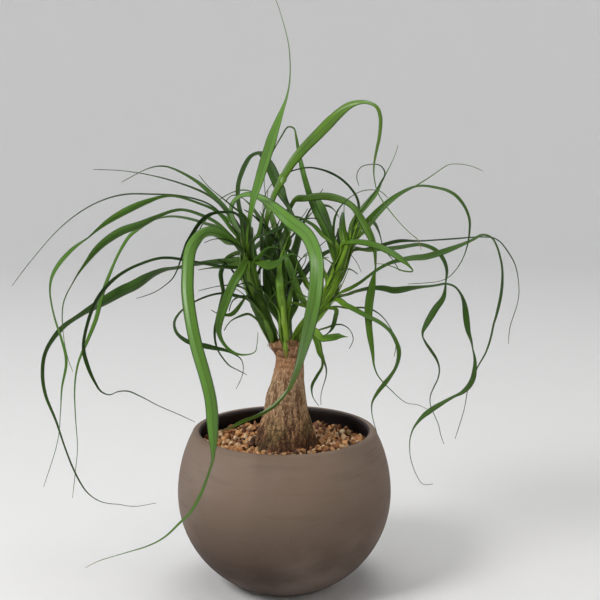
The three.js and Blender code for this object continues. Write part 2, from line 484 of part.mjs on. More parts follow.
// A leaf placed by rule: it rises from the stem, arches over and droops, in a slowly curling direction.
function placedLeaf(rule, draw, order) {
  const origin = rule.origin[0] + (rule.origin[1] - rule.origin[0]) * (order + draw(0, 0.9)) / rule.count;
  const root = pointAlong(stemCurve(STEMS[rule.head]), origin);
  const spread = (order * 0.618 + draw(-0.08, 0.08)) % 1;
  const [from, to] = rule.azimuth;
  const start = (from + (to - from) * Math.abs(spread)) * Math.PI / 180;
  const length = draw(...rule.length);
  const rise = draw(...rule.rise) * Math.PI / 180;
  const droop = draw(...rule.droop) * Math.PI / 180;
  const curl = draw(-35, 35) * Math.PI / 180;
  const twist = draw(-110, 110) * Math.PI / 180;
  const width = draw(...rule.width);
  const place = [root[0], root[1], root[2]];
  const knots = [[...place, 0]];
  for (let k = 1; k <= PLACED_POINTS; k += 1) {
    const share = k / PLACED_POINTS;
    const pitch = rise + (droop - rise) * Math.pow(share, 1.25);
    const heading = start + curl * share * share;
    const step = length / PLACED_POINTS;
    place[0] += step * Math.cos(pitch) * Math.cos(heading);
    place[1] += step * Math.cos(pitch) * Math.sin(heading);
    place[2] += step * Math.sin(pitch);
    knots.push([...place, share]);
  }
  const { points } = evenlySpaced(splineThrough(knots, 4), LEAF_STEP);
  const level = new THREE.Vector3(Math.sin(start), -Math.cos(start), 0);
  const sides = points.map((point, k) => {
    const before = new THREE.Vector3(...points[Math.max(0, k - 1)]);
    const along = new THREE.Vector3(...points[Math.min(points.length - 1, k + 1)]).sub(before).normalize();
    const flat = level.clone().addScaledVector(along, -along.dot(level)).normalize();
    const facing = flat.clone().cross(along);
    const turn = twist * smoothStep(point[3]);
    return flat.multiplyScalar(Math.cos(turn)).addScaledVector(facing, Math.sin(turn));
  });
  return {
    head: rule.head,
    traced: false,
    width,
    narrowing: PLACED_NARROWING,
    points: points.map((point) => point.slice(0, 3)),
    sides,
    length,
  };
}

function widthAt(leaf, share) {
  const narrowed = Math.max(0, (share - leaf.narrowing) / (1 - leaf.narrowing));
  const sheath = 0.75 + 0.25 * smoothStep(share / SHEATH_SHARE);
  return Math.max(TIP_WIDTH, leaf.width * sheath * (1 - Math.pow(narrowed, TAPER_POWER)));
}

// Steady the blade's width direction from point to point, and square to the blade's own run.
function steadySides(leaf) {
  for (let k = 1; k < leaf.sides.length; k += 1) {
    if (leaf.sides[k].dot(leaf.sides[k - 1]) < 0) leaf.sides[k].negate();
  }
  leaf.sides = leaf.sides.map((side, k) => side.clone().multiplyScalar(2)
    .add(leaf.sides[Math.max(0, k - 1)]).add(leaf.sides[Math.min(leaf.sides.length - 1, k + 1)]).normalize());
}

// How far, and in which direction, a leaf's point moves to stand clear of another: a traced leaf slides
// along the viewer's line of sight, which leaves its drawing as it is, and a placed one moves straight
// away.
function clearingMove(sample, offset, need) {
  const gap = Math.hypot(...offset) || 1e-6;
  if (!sample.leaf.traced) return offset.map((part) => part * (need - gap) / gap / 2);
  const sight = [EYE.x - sample.point[0], EYE.y - sample.point[1], EYE.z - sample.point[2]];
  const reach = Math.hypot(...sight);
  const apart = offset.reduce((sum, part, axis) => sum + part * sight[axis], 0) / reach;
  const sideways = gap * gap - apart * apart;
  const shortfall = Math.sqrt(Math.max(0, need * need - sideways)) - Math.abs(apart);
  return sight.map((part) => part / reach * Math.sign(apart || 1) * shortfall / 2);
}

function keepLargest(sample, move) {
  if (Math.hypot(...move) > Math.hypot(...sample.move)) sample.move = move;
}

// Move leaves apart wherever two of them would touch, more with each round, and evenly along each leaf.
function clearLeaves(leaves) {
  const rows = leaves.map((leaf, owner) => leaf.points.map((point, k) => {
    const share = k / (leaf.points.length - 1);
    const run = leaf.length * share;
    const freedom = smoothStep((run - HELD_LENGTH) / (FREE_LENGTH - HELD_LENGTH));
    return { leaf, owner, point, run, freedom, width: widthAt(leaf, share), move: [0, 0, 0] };
  }));
  const samples = rows.flat();
  for (let round = 0; round < CLEAR_ROUNDS; round += 1) {
    for (const sample of samples) sample.move = [0, 0, 0];
    for (let i = 0; i < samples.length; i += 1) {
      const a = samples[i];
      for (let j = i + 1; j < samples.length; j += 1) {
        const b = samples[j];
        const sameHead = a.leaf.head === b.leaf.head;
        const margin = sameHead ? CLEAR_MARGIN : CLEAR_MARGIN_HEADS;
        const need = (a.width + b.width) * CLEAR_WIDTH_SHARE + margin;
        if (a.owner === b.owner || Math.abs(a.point[1] - b.point[1]) > need) continue;
        const offset = a.point.map((value, axis) => value - b.point[axis]);
        if (Math.hypot(...offset) > need) continue;
        if (sameHead && Math.min(a.run, b.run) < FREE_LENGTH) continue;
        keepLargest(a, clearingMove(a, offset, need));
        keepLargest(b, clearingMove(b, offset.map((part) => -part), need));
      }
    }
    for (const own of rows) {
      const last = own.length - 1;
      const eased = own.map((sample, k) => [0, 1, 2].map((axis) => [-2, -1, 0, 1, 2].reduce((sum, step) => (
        sum + (3 - Math.abs(step)) * own[Math.min(last, Math.max(0, k + step))].move[axis]), 0) / 9));
      own.forEach((sample, k) => {
        for (const axis of [0, 1, 2]) sample.point[axis] += eased[k][axis] * sample.freedom;
      });
    }
  }
}

function turnBetween(a, b) {
  return Math.acos(Math.min(1, Math.max(-1, a.dot(b) / a.length() / b.length())));
}

// Which of a leaf's points its blade needs: closer together where it bends or twists.
function neededPoints(leaf) {
  const last = leaf.points.length - 1;
  const places = leaf.points.map((point) => new THREE.Vector3(...point));
  const needed = [0];
  let bend = 0;
  for (let k = 1; k <= last; k += 1) {
    const ahead = places[Math.min(last, k + 1)].clone().sub(places[Math.min(last - 1, k)]);
    bend += turnBetween(places[k].clone().sub(places[k - 1]), ahead);
    bend += TWIST_SHARE * turnBetween(leaf.sides[k], leaf.sides[k - 1]);
    const steps = k - needed[needed.length - 1];
    if (bend < BEND_PER_SPAN && steps < STEPS_PER_SPAN && k < last) continue;
    needed.push(k);
    bend = 0;
  }
  return needed;
}

// One blade as a thin closed body with a shallow fold along its middle.
function bladeSolid(leaf) {
  const spans = leaf.points.length - 1;
  const rings = [];
  for (const k of neededPoints(leaf)) {
    const centre = new THREE.Vector3(...leaf.points[k]);
    const before = new THREE.Vector3(...leaf.points[Math.max(0, k - 1)]);
    const along = new THREE.Vector3(...leaf.points[Math.min(spans, k + 1)]).sub(before).normalize();
    const across = leaf.sides[k].clone().addScaledVector(along, -along.dot(leaf.sides[k])).normalize();
    const face = across.clone().cross(along);
    const share = k / spans;
    const width = widthAt(leaf, share);
    const thickness = BLADE_THICKNESS + (TIP_THICKNESS - BLADE_THICKNESS) * share;
    const fold = BLADE_FOLD * width;
    rings.push([
      centre.clone().addScaledVector(across, width / 2).addScaledVector(face, fold / 2),
      centre.clone().addScaledVector(face, thickness / 2 - fold / 2),
      centre.clone().addScaledVector(across, -width / 2).addScaledVector(face, fold / 2),
      centre.clone().addScaledVector(face, -thickness / 2 - fold / 2),
    ].map((corner) => corner.toArray()));
  }
  return toSolid(facingOut(ringsGeometry(rings)));
}

function allLeaves() {
  const tables = [
    ['left', LEFT_LEAVES], ['right', RIGHT_LEAVES], ['middle', MIDDLE_LEAVES], ['front', FRONT_LEAVES],
  ];
  const traced = tables.flatMap(([head, rows]) => rows.map((row) => tracedLeaf(head, row)));
  const draw = makeDraws(PLACED_SEED);
  const placed = PLACED.flatMap((rule) => Array.from({ length: rule.count },
    (unused, order) => placedLeaf(rule, draw, order))).filter((leaf, k) => !CROWDED.includes(k));
  const leaves = [...traced, ...placed];
  leaves.forEach(steadySides);
  clearLeaves(leaves);
  return leaves;
}

// The largest shell of a fused solid, which fills what fusing sealed and drops what it left loose,
// without the edges shorter than a sliver.
function oneBody(solid) {
  const shells = solid.decompose();
  const largest = shells.reduce((best, shell) => (shell.volume() > best.volume() ? shell : best));
  return largest.simplify(SLIVER);
}

function headGeometry(head, leaves) {
  let solid = stemSolid(STEMS[head]);
  for (const leaf of leaves.filter((one) => one.head === head)) solid = solid.add(bladeSolid(leaf));
  return toGeometry(oneBody(solid));
}

// The pot's outer radius at a height, on its two elliptical arcs.
function potRadius(z) {
  const rise = z > POT_WIDEST_Z ? POT_RISE_UPPER : POT_RISE_LOWER;
  return POT_RADIUS * Math.sqrt(1 - ((z - POT_WIDEST_Z) / rise) ** 2);
}

function innerRadius(z) {
  return potRadius(z) - POT_WALL;
}

function potGeometry() {
  const profile = [new THREE.Vector2(0, 0)];
  const outer = [0, 5, 14, 32, 54, 78, 102, 126, 146, RIM_Z];
  for (const z of outer) profile.push(new THREE.Vector2(potRadius(z), z));
  const lip = POT_WALL / 2;
  const middle = potRadius(RIM_Z) - lip;
  for (let k = 1; k <= 4; k += 1) {
    const angle = Math.PI * k / 5;
    profile.push(new THREE.Vector2(middle + lip * Math.cos(angle), RIM_Z + lip * Math.sin(angle)));
  }
  for (const z of [RIM_Z, 143, 118, 88, 54, 32, 18]) profile.push(new THREE.Vector2(innerRadius(z), z));
  profile.push(new THREE.Vector2(innerRadius(18) - 9, POT_FLOOR));
  profile.push(new THREE.Vector2(0, POT_FLOOR));
  const geometry = new THREE.LatheGeometry(profile, POT_SIDES);
  geometry.rotateX(Math.PI / 2);
  return geometry;
}

// Lathe profiles turn about Y, so a profile's height lies along Z after this quarter turn.
function turned(points, sides) {
  const profile = points.map(([radius, z]) => new THREE.Vector2(radius, z));
  const geometry = new THREE.LatheGeometry(profile, sides);
  geometry.rotateX(Math.PI / 2);
  return geometry;
}

function mixGeometry() {
  const points = [[0, POT_FLOOR + CLEARANCE], [innerRadius(18) - 9 - CLEARANCE, POT_FLOOR + CLEARANCE]];
  for (const z of [18, 32, 54, 88, 118, MIX_TOP]) points.push([innerRadius(z) - 1, z + CLEARANCE]);
  points.push([ROOT_RADIUS + CLEARANCE, MIX_TOP + CLEARANCE]);
  points.push([ROOT_RADIUS + CLEARANCE, ROOT_END_Z - CLEARANCE], [0, ROOT_END_Z - CLEARANCE]);
  return turned(points, POT_SIDES);
}

function gravelGeometry() {
  const bottom = MIX_TOP + 2 * CLEARANCE;
  const wall = innerRadius(GRAVEL_TOP) - 1.2;
  let solid = toSolid(turned([
    [TRUNK_HOLE_RADIUS, bottom], [wall, bottom], [wall, GRAVEL_TOP - 1], [wall - 2, GRAVEL_TOP],
    [TRUNK_HOLE_RADIUS + 1, GRAVEL_TOP + 1], [TRUNK_HOLE_RADIUS, bottom],
  ], POT_SIDES));
  const draw = makeDraws(PEBBLE_COUNT);
  for (let k = 0; k < PEBBLE_COUNT; k += 1) {
    const radius = draw(...PEBBLE_RADIUS);
    const [inner, outer] = PEBBLE_RING;
    const out = Math.sqrt(inner * inner + (outer * outer - inner * inner) * (k + 0.5) / PEBBLE_COUNT);
    const angle = k * Math.PI * (3 - Math.sqrt(5));
    const pebble = new THREE.OctahedronGeometry(radius, 0);
    pebble.scale(draw(0.9, 1.25), draw(0.75, 1), draw(0.6, 0.85));
    pebble.rotateX(draw(-0.5, 0.5));
    pebble.rotateZ(draw(0, Math.PI));
    pebble.translate(out * Math.cos(angle), out * Math.sin(angle), GRAVEL_TOP + draw(0.2, 1.6));
    solid = solid.add(toSolid(pebble));
  }
  return toGeometry(oneBody(solid));
}

// The trunk's radius around a level: ridged and lobed where it swells, nearly round higher up.
function trunkRadius(level, angle) {
  const [z, radius] = level;
  const swell = smoothStep((215 - z) / 70);
  const lobes = Math.sin(TRUNK_LOBES * angle + 0.02 * z) * 0.6 + Math.sin(3 * angle + 1.3) * 0.4;
  return radius * (1 + TRUNK_LOBE_DEPTH * swell * lobes);
}

function trunkGeometry() {
  const ring = (level) => Array.from({ length: TRUNK_SIDES }, (unused, side) => {
    const angle = 2 * Math.PI * side / TRUNK_SIDES;
    const radius = trunkRadius(level, angle);
    return [level[2] + radius * Math.cos(angle), radius * Math.sin(angle), level[0]];
  });
  const plug = (radius, z) => Array.from({ length: TRUNK_SIDES }, (unused, side) => {
    const angle = 2 * Math.PI * side / TRUNK_SIDES;
    return [radius * Math.cos(angle), radius * Math.sin(angle), z];
  });
  const buried = [plug(ROOT_RADIUS - 6, ROOT_END_Z), plug(ROOT_RADIUS, ROOT_END_Z + 8),
    plug(ROOT_RADIUS, MIX_TOP + 2 * CLEARANCE)];
  return facingOut(ringsGeometry([...buried, ...TRUNK_LEVELS.map(ring)]));
}

function named(name, geometry, colour, roughness) {
  const material = new THREE.MeshStandardMaterial({ color: colour, roughness, metalness: 0 });
  const mesh = new THREE.Mesh(geometry, material);
  mesh.name = name;
  return mesh;
}

const leaves = allLeaves();
const group = new THREE.Group();
group.add(named('pot', potGeometry(), POT_COLOUR, 0.75));
group.add(named('potting_mix', mixGeometry(), MIX_COLOUR, 0.95));
group.add(named('gravel', gravelGeometry(), GRAVEL_COLOUR, 0.85));
group.add(named('trunk', trunkGeometry(), TRUNK_COLOUR, 0.9));
group.add(named('head_left', headGeometry('left', leaves), LEAF_COLOURS.left, 0.45));
group.add(named('head_right', headGeometry('right', leaves), LEAF_COLOURS.right, 0.45));
group.add(named('head_middle', headGeometry('middle', leaves), LEAF_COLOURS.middle, 0.45));
group.add(named('shoot_front', headGeometry('front', leaves), LEAF_COLOURS.front, 0.45));

export default group;
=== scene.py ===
# %% [markdown]
# # A potted ponytail palm, dressed in Blender
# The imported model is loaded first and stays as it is: it gives every piece its place and its size.
# The plant is a corky trunk in a ball pot, with sheathed heads of narrow, channelled strap leaves.
# Each head's plain solid is replaced here by finer blades that follow the very same routes.

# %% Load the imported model
import math

import bmesh
import bpy
import numpy as np
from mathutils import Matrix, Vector, noise


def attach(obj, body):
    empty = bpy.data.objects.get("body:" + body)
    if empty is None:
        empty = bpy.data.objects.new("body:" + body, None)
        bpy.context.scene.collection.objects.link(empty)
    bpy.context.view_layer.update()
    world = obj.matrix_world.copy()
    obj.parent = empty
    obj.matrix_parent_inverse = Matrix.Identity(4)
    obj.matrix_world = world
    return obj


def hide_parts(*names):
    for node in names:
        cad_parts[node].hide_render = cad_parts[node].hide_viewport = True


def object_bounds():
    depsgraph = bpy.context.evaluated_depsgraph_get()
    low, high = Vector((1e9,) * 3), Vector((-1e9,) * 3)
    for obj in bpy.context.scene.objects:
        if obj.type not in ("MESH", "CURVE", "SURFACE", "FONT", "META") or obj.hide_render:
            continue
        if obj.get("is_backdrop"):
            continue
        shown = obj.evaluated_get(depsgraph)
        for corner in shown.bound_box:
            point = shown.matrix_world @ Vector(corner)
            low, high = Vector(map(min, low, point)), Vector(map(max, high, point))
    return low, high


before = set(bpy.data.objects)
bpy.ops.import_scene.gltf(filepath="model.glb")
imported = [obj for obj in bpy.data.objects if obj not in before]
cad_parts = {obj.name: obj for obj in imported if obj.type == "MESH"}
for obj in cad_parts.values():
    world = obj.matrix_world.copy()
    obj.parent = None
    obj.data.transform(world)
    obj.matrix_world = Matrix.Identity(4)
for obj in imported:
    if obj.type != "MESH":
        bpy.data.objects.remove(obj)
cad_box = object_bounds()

MM = 0.001
print("CAD nodes:", sorted(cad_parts))

# %% [markdown]
# ## The camera
# The plant was seen from just above its leaves' middle, with a lens long enough to keep the pot's
# sides upright. The lens follows from two real lengths: how far away the eye is, and how much it sees
# there.

# %% Place the camera
VIEW_DISTANCE = 1400.0
VIEW_WIDTH = 600.0
VIEW_PITCH = math.radians(11)
DRAWING_CENTRE = np.array([16.0, 0.0, 296.7])
DRAWING_MIDDLE = (16.0, 300.0)
DRAWING_UP = np.array([0.0, math.sin(VIEW_PITCH), math.cos(VIEW_PITCH)])
SIGHT_BACK = np.array([0.0, -math.cos(VIEW_PITCH), math.sin(VIEW_PITCH)])
EYE = DRAWING_CENTRE + SIGHT_BACK * VIEW_DISTANCE
SENSOR_WIDTH = 36.0

camera_data = bpy.data.cameras.new("camera")
camera_data.sensor_width = SENSOR_WIDTH
camera_data.lens = SENSOR_WIDTH * VIEW_DISTANCE / VIEW_WIDTH
camera = bpy.data.objects.new("camera", camera_data)
camera.location = EYE * MM
camera.rotation_euler = (math.pi / 2 - VIEW_PITCH, 0, 0)
bpy.context.scene.collection.objects.link(camera)
bpy.context.scene.camera = camera
print("lens", round(camera_data.lens, 1), "mm")

# %% [markdown]
# ## Floor and light
# A pale round sweep stands in for the room: a level floor that curves up into a wall on every side,
# well away from the plant, so that the plant can be looked at from anywhere. Three soft lamps and a
# pale world light the plant, brighter from the upper left, and four more lamps hang with their backs
# to it and light the wall only.

# %% Make the sweep
SWEEP_FLOOR = 2100.0
SWEEP_BEND = 1500.0
SWEEP_HEIGHT = 3400.0
SWEEP_SIDES = 96
BEND_STEPS = 12


def add_mesh(name, vertices, faces):
    """A smooth-shaded object from points in metres and the faces between them."""
    mesh = bpy.data.meshes.new(name)
    mesh.from_pydata([tuple(v) for v in vertices], [], [tuple(f) for f in faces])
    mesh.polygons.foreach_set("use_smooth", [True] * len(mesh.polygons))
    mesh.update()
    obj = bpy.data.objects.new(name, mesh)
    bpy.context.scene.collection.objects.link(obj)
    return obj


def spun(name, line, sides):
    """A surface of revolution about Z; a point on the axis closes into one vertex."""
    points = []
    rings = []
    for radius, z in line:
        count = sides if radius > 0 else 1
        rings.append([len(points) + k for k in range(count)])
        for k in range(count):
            angle = 2 * math.pi * k / sides
            points.append((radius * math.cos(angle) * MM, radius * math.sin(angle) * MM, z * MM))
    faces = []
    for low, high in zip(rings, rings[1:]):
        for k in range(sides):
            quad = [low[k % len(low)], low[(k + 1) % sides % len(low)]]
            quad += [high[(k + 1) % sides % len(high)], high[k % len(high)]]
            faces.append(list(dict.fromkeys(quad)))
    return add_mesh(name, points, faces)


sweep_line = [(0.0, 0.0)]
for angle in np.linspace(0, math.pi / 2, BEND_STEPS + 1):
    out = SWEEP_FLOOR + SWEEP_BEND * math.sin(angle)
    sweep_line.append((out, SWEEP_BEND * (1 - math.cos(angle))))
sweep_line.append((SWEEP_FLOOR + SWEEP_BEND, SWEEP_HEIGHT))
sweep = spun("studio_sweep", sweep_line, SWEEP_SIDES)
sweep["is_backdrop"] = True
print("level floor", 2 * SWEEP_FLOOR * MM, "m across")

# %% Hang the lamps
LAMPS = {
    "key": {"at": (-1.5, -1.2, 1.9), "size": 0.9, "power": 41, "color": (1.0, 0.98, 0.96)},
    "fill": {"at": (1.6, -1.1, 1.2), "size": 1.6, "power": 3, "color": (1.0, 0.75, 0.5)},
    "top": {"at": (0.1, 0.3, 2.2), "size": 1.1, "power": 14, "color": (1.0, 1.0, 1.0)},
}
PLANT_MIDDLE = (0.0, 0.0, 0.28)
WALL_LAMPS = 4
WALL_LAMP_OUT = 1.2
WALL_LAMP_UP = 2.9
WALL_LAMP = {"size": 1.6, "power": 20, "color": (1.0, 1.0, 1.0)}
LIT_WALL_OUT = 3.5
LIT_WALL_UP = 1.3
WORLD_COLOR = (1.0, 0.99, 0.97, 1)
WORLD_STRENGTH = 0.03


def hang(name, at, toward, size, power, color):
    """A round soft lamp at one place, turned towards another."""
    data = bpy.data.lights.new(name, "AREA")
    data.shape = "DISK"
    data.size = size
    data.energy = power
    data.color = color
    light = bpy.data.objects.new(name, data)
    light.location = at
    light.rotation_euler = (Vector(toward) - Vector(at)).to_track_quat("-Z", "Y").to_euler()
    bpy.context.scene.collection.objects.link(light)


for name, lamp in LAMPS.items():
    hang(name, toward=PLANT_MIDDLE, **lamp)
for k in range(WALL_LAMPS):
    angle = 2 * math.pi * (k + 0.5) / WALL_LAMPS
    x, y = math.cos(angle), math.sin(angle)
    at = (x * WALL_LAMP_OUT, y * WALL_LAMP_OUT, WALL_LAMP_UP)
    hang("wall", at, (x * LIT_WALL_OUT, y * LIT_WALL_OUT, LIT_WALL_UP), **WALL_LAMP)

world = bpy.data.worlds.new("studio")
bpy.context.scene.world = world
world.use_nodes = True
background = world.node_tree.nodes["Background"]
background.inputs["Color"].default_value = WORLD_COLOR
background.inputs["Strength"].default_value = WORLD_STRENGTH
bpy.context.scene.view_settings.view_transform = "Standard"
print(len(LAMPS), "lamps on the plant,", WALL_LAMPS, "on the wall")

# %% [markdown]
# ## Writing materials as sums
# A node tree is easier to read as arithmetic. This small class wraps one output socket, so that
# adding or multiplying values adds the matching Math nodes. Every other node is made by one method of
# the material.


# %% The socket class
class Value:
    """One output socket, which can be added to, multiplied and so on."""

    def __init__(self, material, socket):
        self.material = material
        self.socket = socket

    def math(self, operation, *others):
        return self.material.node("ShaderNodeMath", {"operation": operation}, [self, *others])

    def __add__(self, other):
        return self.math("ADD", other)

    def __sub__(self, other):
        return self.math("SUBTRACT", other)

    def __mul__(self, other):
        return self.math("MULTIPLY", other)

    def __rsub__(self, other):
        return self.material.node("ShaderNodeMath", {"operation": "SUBTRACT"}, [other, self])

    __radd__ = __add__
    __rmul__ = __mul__

    def between(self, low, high):
        """0 below low, 1 above high, and smooth in between."""
        settings = {"interpolation_type": "SMOOTHSTEP"}
        inputs = {"Value": self, "From Min": low, "From Max": high}
        return self.material.node("ShaderNodeMapRange", settings, inputs)


# %% The material class
class Material:
    """A new material; sockets that stay the same all over are named in the call."""

    def __init__(self, name, **constants):
        self.data = bpy.data.materials.new(name)
        self.data.use_nodes = True
        self.tree = self.data.node_tree
        self.shader = self.tree.nodes["Principled BSDF"]
        for socket, value in constants.items():
            self.shader.inputs[socket.replace("_", " ")].default_value = value

    def node(self, kind, settings=None, inputs=None, output=0):
        """Any node, with its settings and what feeds its sockets, as the value of one output."""
        node = self.tree.nodes.new(kind)
        for key, value in (settings or {}).items():
            setattr(node, key, value)
        pairs = inputs.items() if isinstance(inputs, dict) else enumerate(inputs or [])
        for key, value in pairs:
            self.feed(node.inputs[key], value)
        return Value(self, node.outputs[output])

    def feed(self, socket, value):
        if isinstance(value, Value):
            self.tree.links.new(value.socket, socket)
        elif isinstance(value, tuple) and len(value) == 3 and socket.type == "RGBA":
            socket.default_value = (*value, 1)
        else:
            socket.default_value = value

    def mix(self, factor, first, second):
        """A colour that goes from the first to the second as the factor goes from 0 to 1."""
        return self.node("ShaderNodeMix", {"data_type": "RGBA"}, {0: factor, 6: first, 7: second}, 2)

    def number(self, name):
        """A number stored on the mesh."""
        return self.node("ShaderNodeAttribute", {"attribute_name": name}, None, "Fac")

    def part(self, name, part):
        """One part, 0 to 2, of a vector stored on the mesh."""
        vector = self.node("ShaderNodeAttribute", {"attribute_name": name}, None, "Vector")
        return self.node("ShaderNodeSeparateXYZ", None, [vector], part)

    def place(self, scale=(1, 1, 1)):
        """The point on the piece, in its own space, stretched by a scale on each axis."""
        point = self.node("ShaderNodeTexCoord", None, None, "Object")
        return self.node("ShaderNodeVectorMath", {"operation": "MULTIPLY"}, [point, scale])

    def height(self):
        """The height of the point on the piece, in metres."""
        return self.node("ShaderNodeSeparateXYZ", None, [self.place()], 2)

    def noise(self, scale, detail, stretch=(1, 1, 1)):
        """Soft random spots on the piece, drawn out along the axes that the stretch makes small."""
        inputs = {"Vector": self.place(stretch), "Scale": scale, "Detail": detail}
        return self.node("ShaderNodeTexNoise", None, inputs)

    def strands(self, around, along, scale):
        """Soft random streaks, in coordinates that follow a leaf or a stem."""
        place = self.node("ShaderNodeCombineXYZ", None, [around, along, 0.0])
        inputs = {"Vector": place, "Scale": scale, "Detail": 3.0}
        return self.node("ShaderNodeTexNoise", {"noise_dimensions": "2D"}, inputs)

    def finish(self, color, roughness, height, strength, distance):
        """The finished material, with a relief of that strength and depth in metres."""
        bump = {"Height": height, "Strength": strength, "Distance": distance}
        self.feed(self.shader.inputs["Base Color"], color)
        self.feed(self.shader.inputs["Roughness"], roughness)
        self.feed(self.shader.inputs["Normal"], self.node("ShaderNodeBump", None, bump))
        return self.data


# %% Dress a piece
def store(piece, name, values):
    """Keep a number or a vector at each point, for the piece's finish to read."""
    values = np.asarray(values, float)
    kind, field = ("FLOAT_VECTOR", "vector") if values.ndim == 2 else ("FLOAT", "value")
    piece.data.attributes.new(name, kind, "POINT").data.foreach_set(field, values.ravel())


def dress(piece, material, slot, node):
    """Give a piece its material and body, and let it stand for a CAD node; the slot is not used."""
    piece.data.materials.append(material)
    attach(piece, "root")
    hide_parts(node)
    print(piece.name, len(piece.data.polygons), "faces")


# %% Paint the sweep
SWEEP_COLOR = (0.76, 0.765, 0.77, 1)
sweep.data.materials.append(Material("pale_sweep", Base_Color=SWEEP_COLOR, Roughness=0.8).data)
print("sweep painted", SWEEP_COLOR[:3])

# %% [markdown]
# ## The pot
# The real pot was thrown and turned on a wheel, so it is a body of revolution: two elliptical arcs
# that meet at its widest level, and a soft lip. Spinning one outline gives that, with the turning
# left as fine rings in the surface. The stoneware is matt, greyer where it catches the light and
# browner below, where its colour is darkened towards the foot as painted shade.

# %% The pot's outline
POT_RADIUS = 109.0
POT_WIDEST_Z = 97.0
POT_RISE_UPPER = 123.0
POT_RISE_LOWER = 105.6
POT_WALL = 6.0
LIP_WALL = 8.6
LIP_START_Z = 144.0
RIM_Z = 160.0
POT_FLOOR = 9.0
FOOT_EDGE = 2.5
FOOT_HOLLOW = 1.2
FOOT_HOLLOW_RADIUS = 30.0
FOOT_RING_RADIUS = 34.0
OUTSIDE_STEPS = 70
LIP_STEPS = 14
INSIDE_STEPS = 44
INSIDE_END_Z = 18.0


def pot_radius(z):
    rise = POT_RISE_UPPER if z > POT_WIDEST_Z else POT_RISE_LOWER
    return POT_RADIUS * math.sqrt(1 - ((z - POT_WIDEST_Z) / rise) ** 2)


def smooth_step(value):
    t = np.clip(value, 0, 1)
    return t * t * (3 - 2 * t)


def rising(value, start, end):
    """0 at the start, 1 at the end, and smooth in between."""
    return smooth_step((value - start) / (end - start))


def wall_at(z):
    return POT_WALL + (LIP_WALL - POT_WALL) * rising(z, LIP_START_Z, RIM_Z)


def pot_outline():
    """Radius and height from the middle of the foot, up the outside, over the lip and down inside."""
    line = [(0.0, FOOT_HOLLOW), (FOOT_HOLLOW_RADIUS, FOOT_HOLLOW), (FOOT_RING_RADIUS, 0.0)]
    line += [(pot_radius(0) - FOOT_EDGE, 0.0)]
    line += [(pot_radius(z), z) for z in np.linspace(0.8, RIM_Z - 1, OUTSIDE_STEPS)]
    middle = pot_radius(RIM_Z) - LIP_WALL / 2
    for angle in np.linspace(0, math.pi, LIP_STEPS + 1)[1:-1]:
        out = middle + LIP_WALL / 2 * math.cos(angle)
        line.append((out, RIM_Z + POT_WALL / 2 * math.sin(angle)))
    line += [(pot_radius(z) - wall_at(z), z) for z in np.linspace(RIM_Z - 1, INSIDE_END_Z, INSIDE_STEPS)]
    return line + [(0.0, POT_FLOOR)]


print("pot", 2 * POT_RADIUS, "mm across and", RIM_Z, "mm tall")

# %% Spin the pot
POT_SIDES = 160
pot = spun("stoneware_pot", pot_outline(), POT_SIDES)
print("pot with", len(pot_outline()), "rings of", POT_SIDES, "points")

# %% The stoneware
INSIDE_FROM = 0.8
stoneware = Material("stoneware", Specular_IOR_Level=0.3)
cloud = stoneware.noise(8, 4, (1, 1, 1.8))
streaks = stoneware.noise(24, 4, (0.5, 0.5, 5))
grains = stoneware.noise(900, 2)
# Painted shade: the colour darkens to a deep brown towards the foot.
body = stoneware.mix(stoneware.height().between(0.0, 0.15), (0.025, 0.011, 0.006), (0.185, 0.131, 0.095))
body = stoneware.mix(cloud.between(0.4, 0.68) * 0.5, body, (0.23, 0.178, 0.148))
body = stoneware.mix(streaks.between(0.54, 0.72) * 0.3, body, (0.1, 0.068, 0.047))
body = stoneware.mix(grains.between(0.6, 0.75) * 0.25, body, (0.26, 0.21, 0.17))
# Painted shade: the inside wall above the gravel is painted near-black.
body = stoneware.mix(stoneware.number("inside"), body, (0.032, 0.025, 0.025))
relief = streaks * 0.4 + grains * 0.6
pot_skin = stoneware.finish(body, 0.58 + 0.2 * cloud, relief, 0.25, 0.0006)

inside = []
for vertex in pot.data.vertices:
    radius = math.hypot(vertex.co.x, vertex.co.y) / MM
    height = vertex.co.z / MM
    inner_side = pot_radius(min(height, RIM_Z)) - wall_at(height) * INSIDE_FROM
    inside.append(height > POT_FLOOR / 2 and radius < inner_side)
store(pot, "inside", inside)
dress(pot, pot_skin, "pot", "pot")

# %% [markdown]
# ## Potting mix
# The mix fills the pot under the gravel. It is only seen if the gravel is taken away, so the packed
# solid keeps its shape and takes a dark, crumbly finish.

# %% The potting mix's finish
crumb = Material("crumbly_mix", Specular_IOR_Level=0.2)
lumps = crumb.noise(320, 5)
mix_color = crumb.mix(lumps.between(0.35, 0.7), (0.018, 0.011, 0.007), (0.085, 0.055, 0.035))
mix_skin = crumb.finish(mix_color, 0.95, lumps, 0.9, 0.002)
mix_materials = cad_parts["potting_mix"].data.materials
mix_materials.clear()
mix_materials.append(mix_skin)
print("the packed mix wears", mix_skin.name)

# %% [markdown]
# ## Gravel
# Top dressing for a pot is sieved, so its stones are much alike in size but not in form or colour:
# tan and orange ones, pale buff ones and dark brown ones. Some seven hundred stones are placed on a
# loose hexagonal grid, each one a ball cut flat along a few random directions, over a rough bed that
# shows in the gaps.

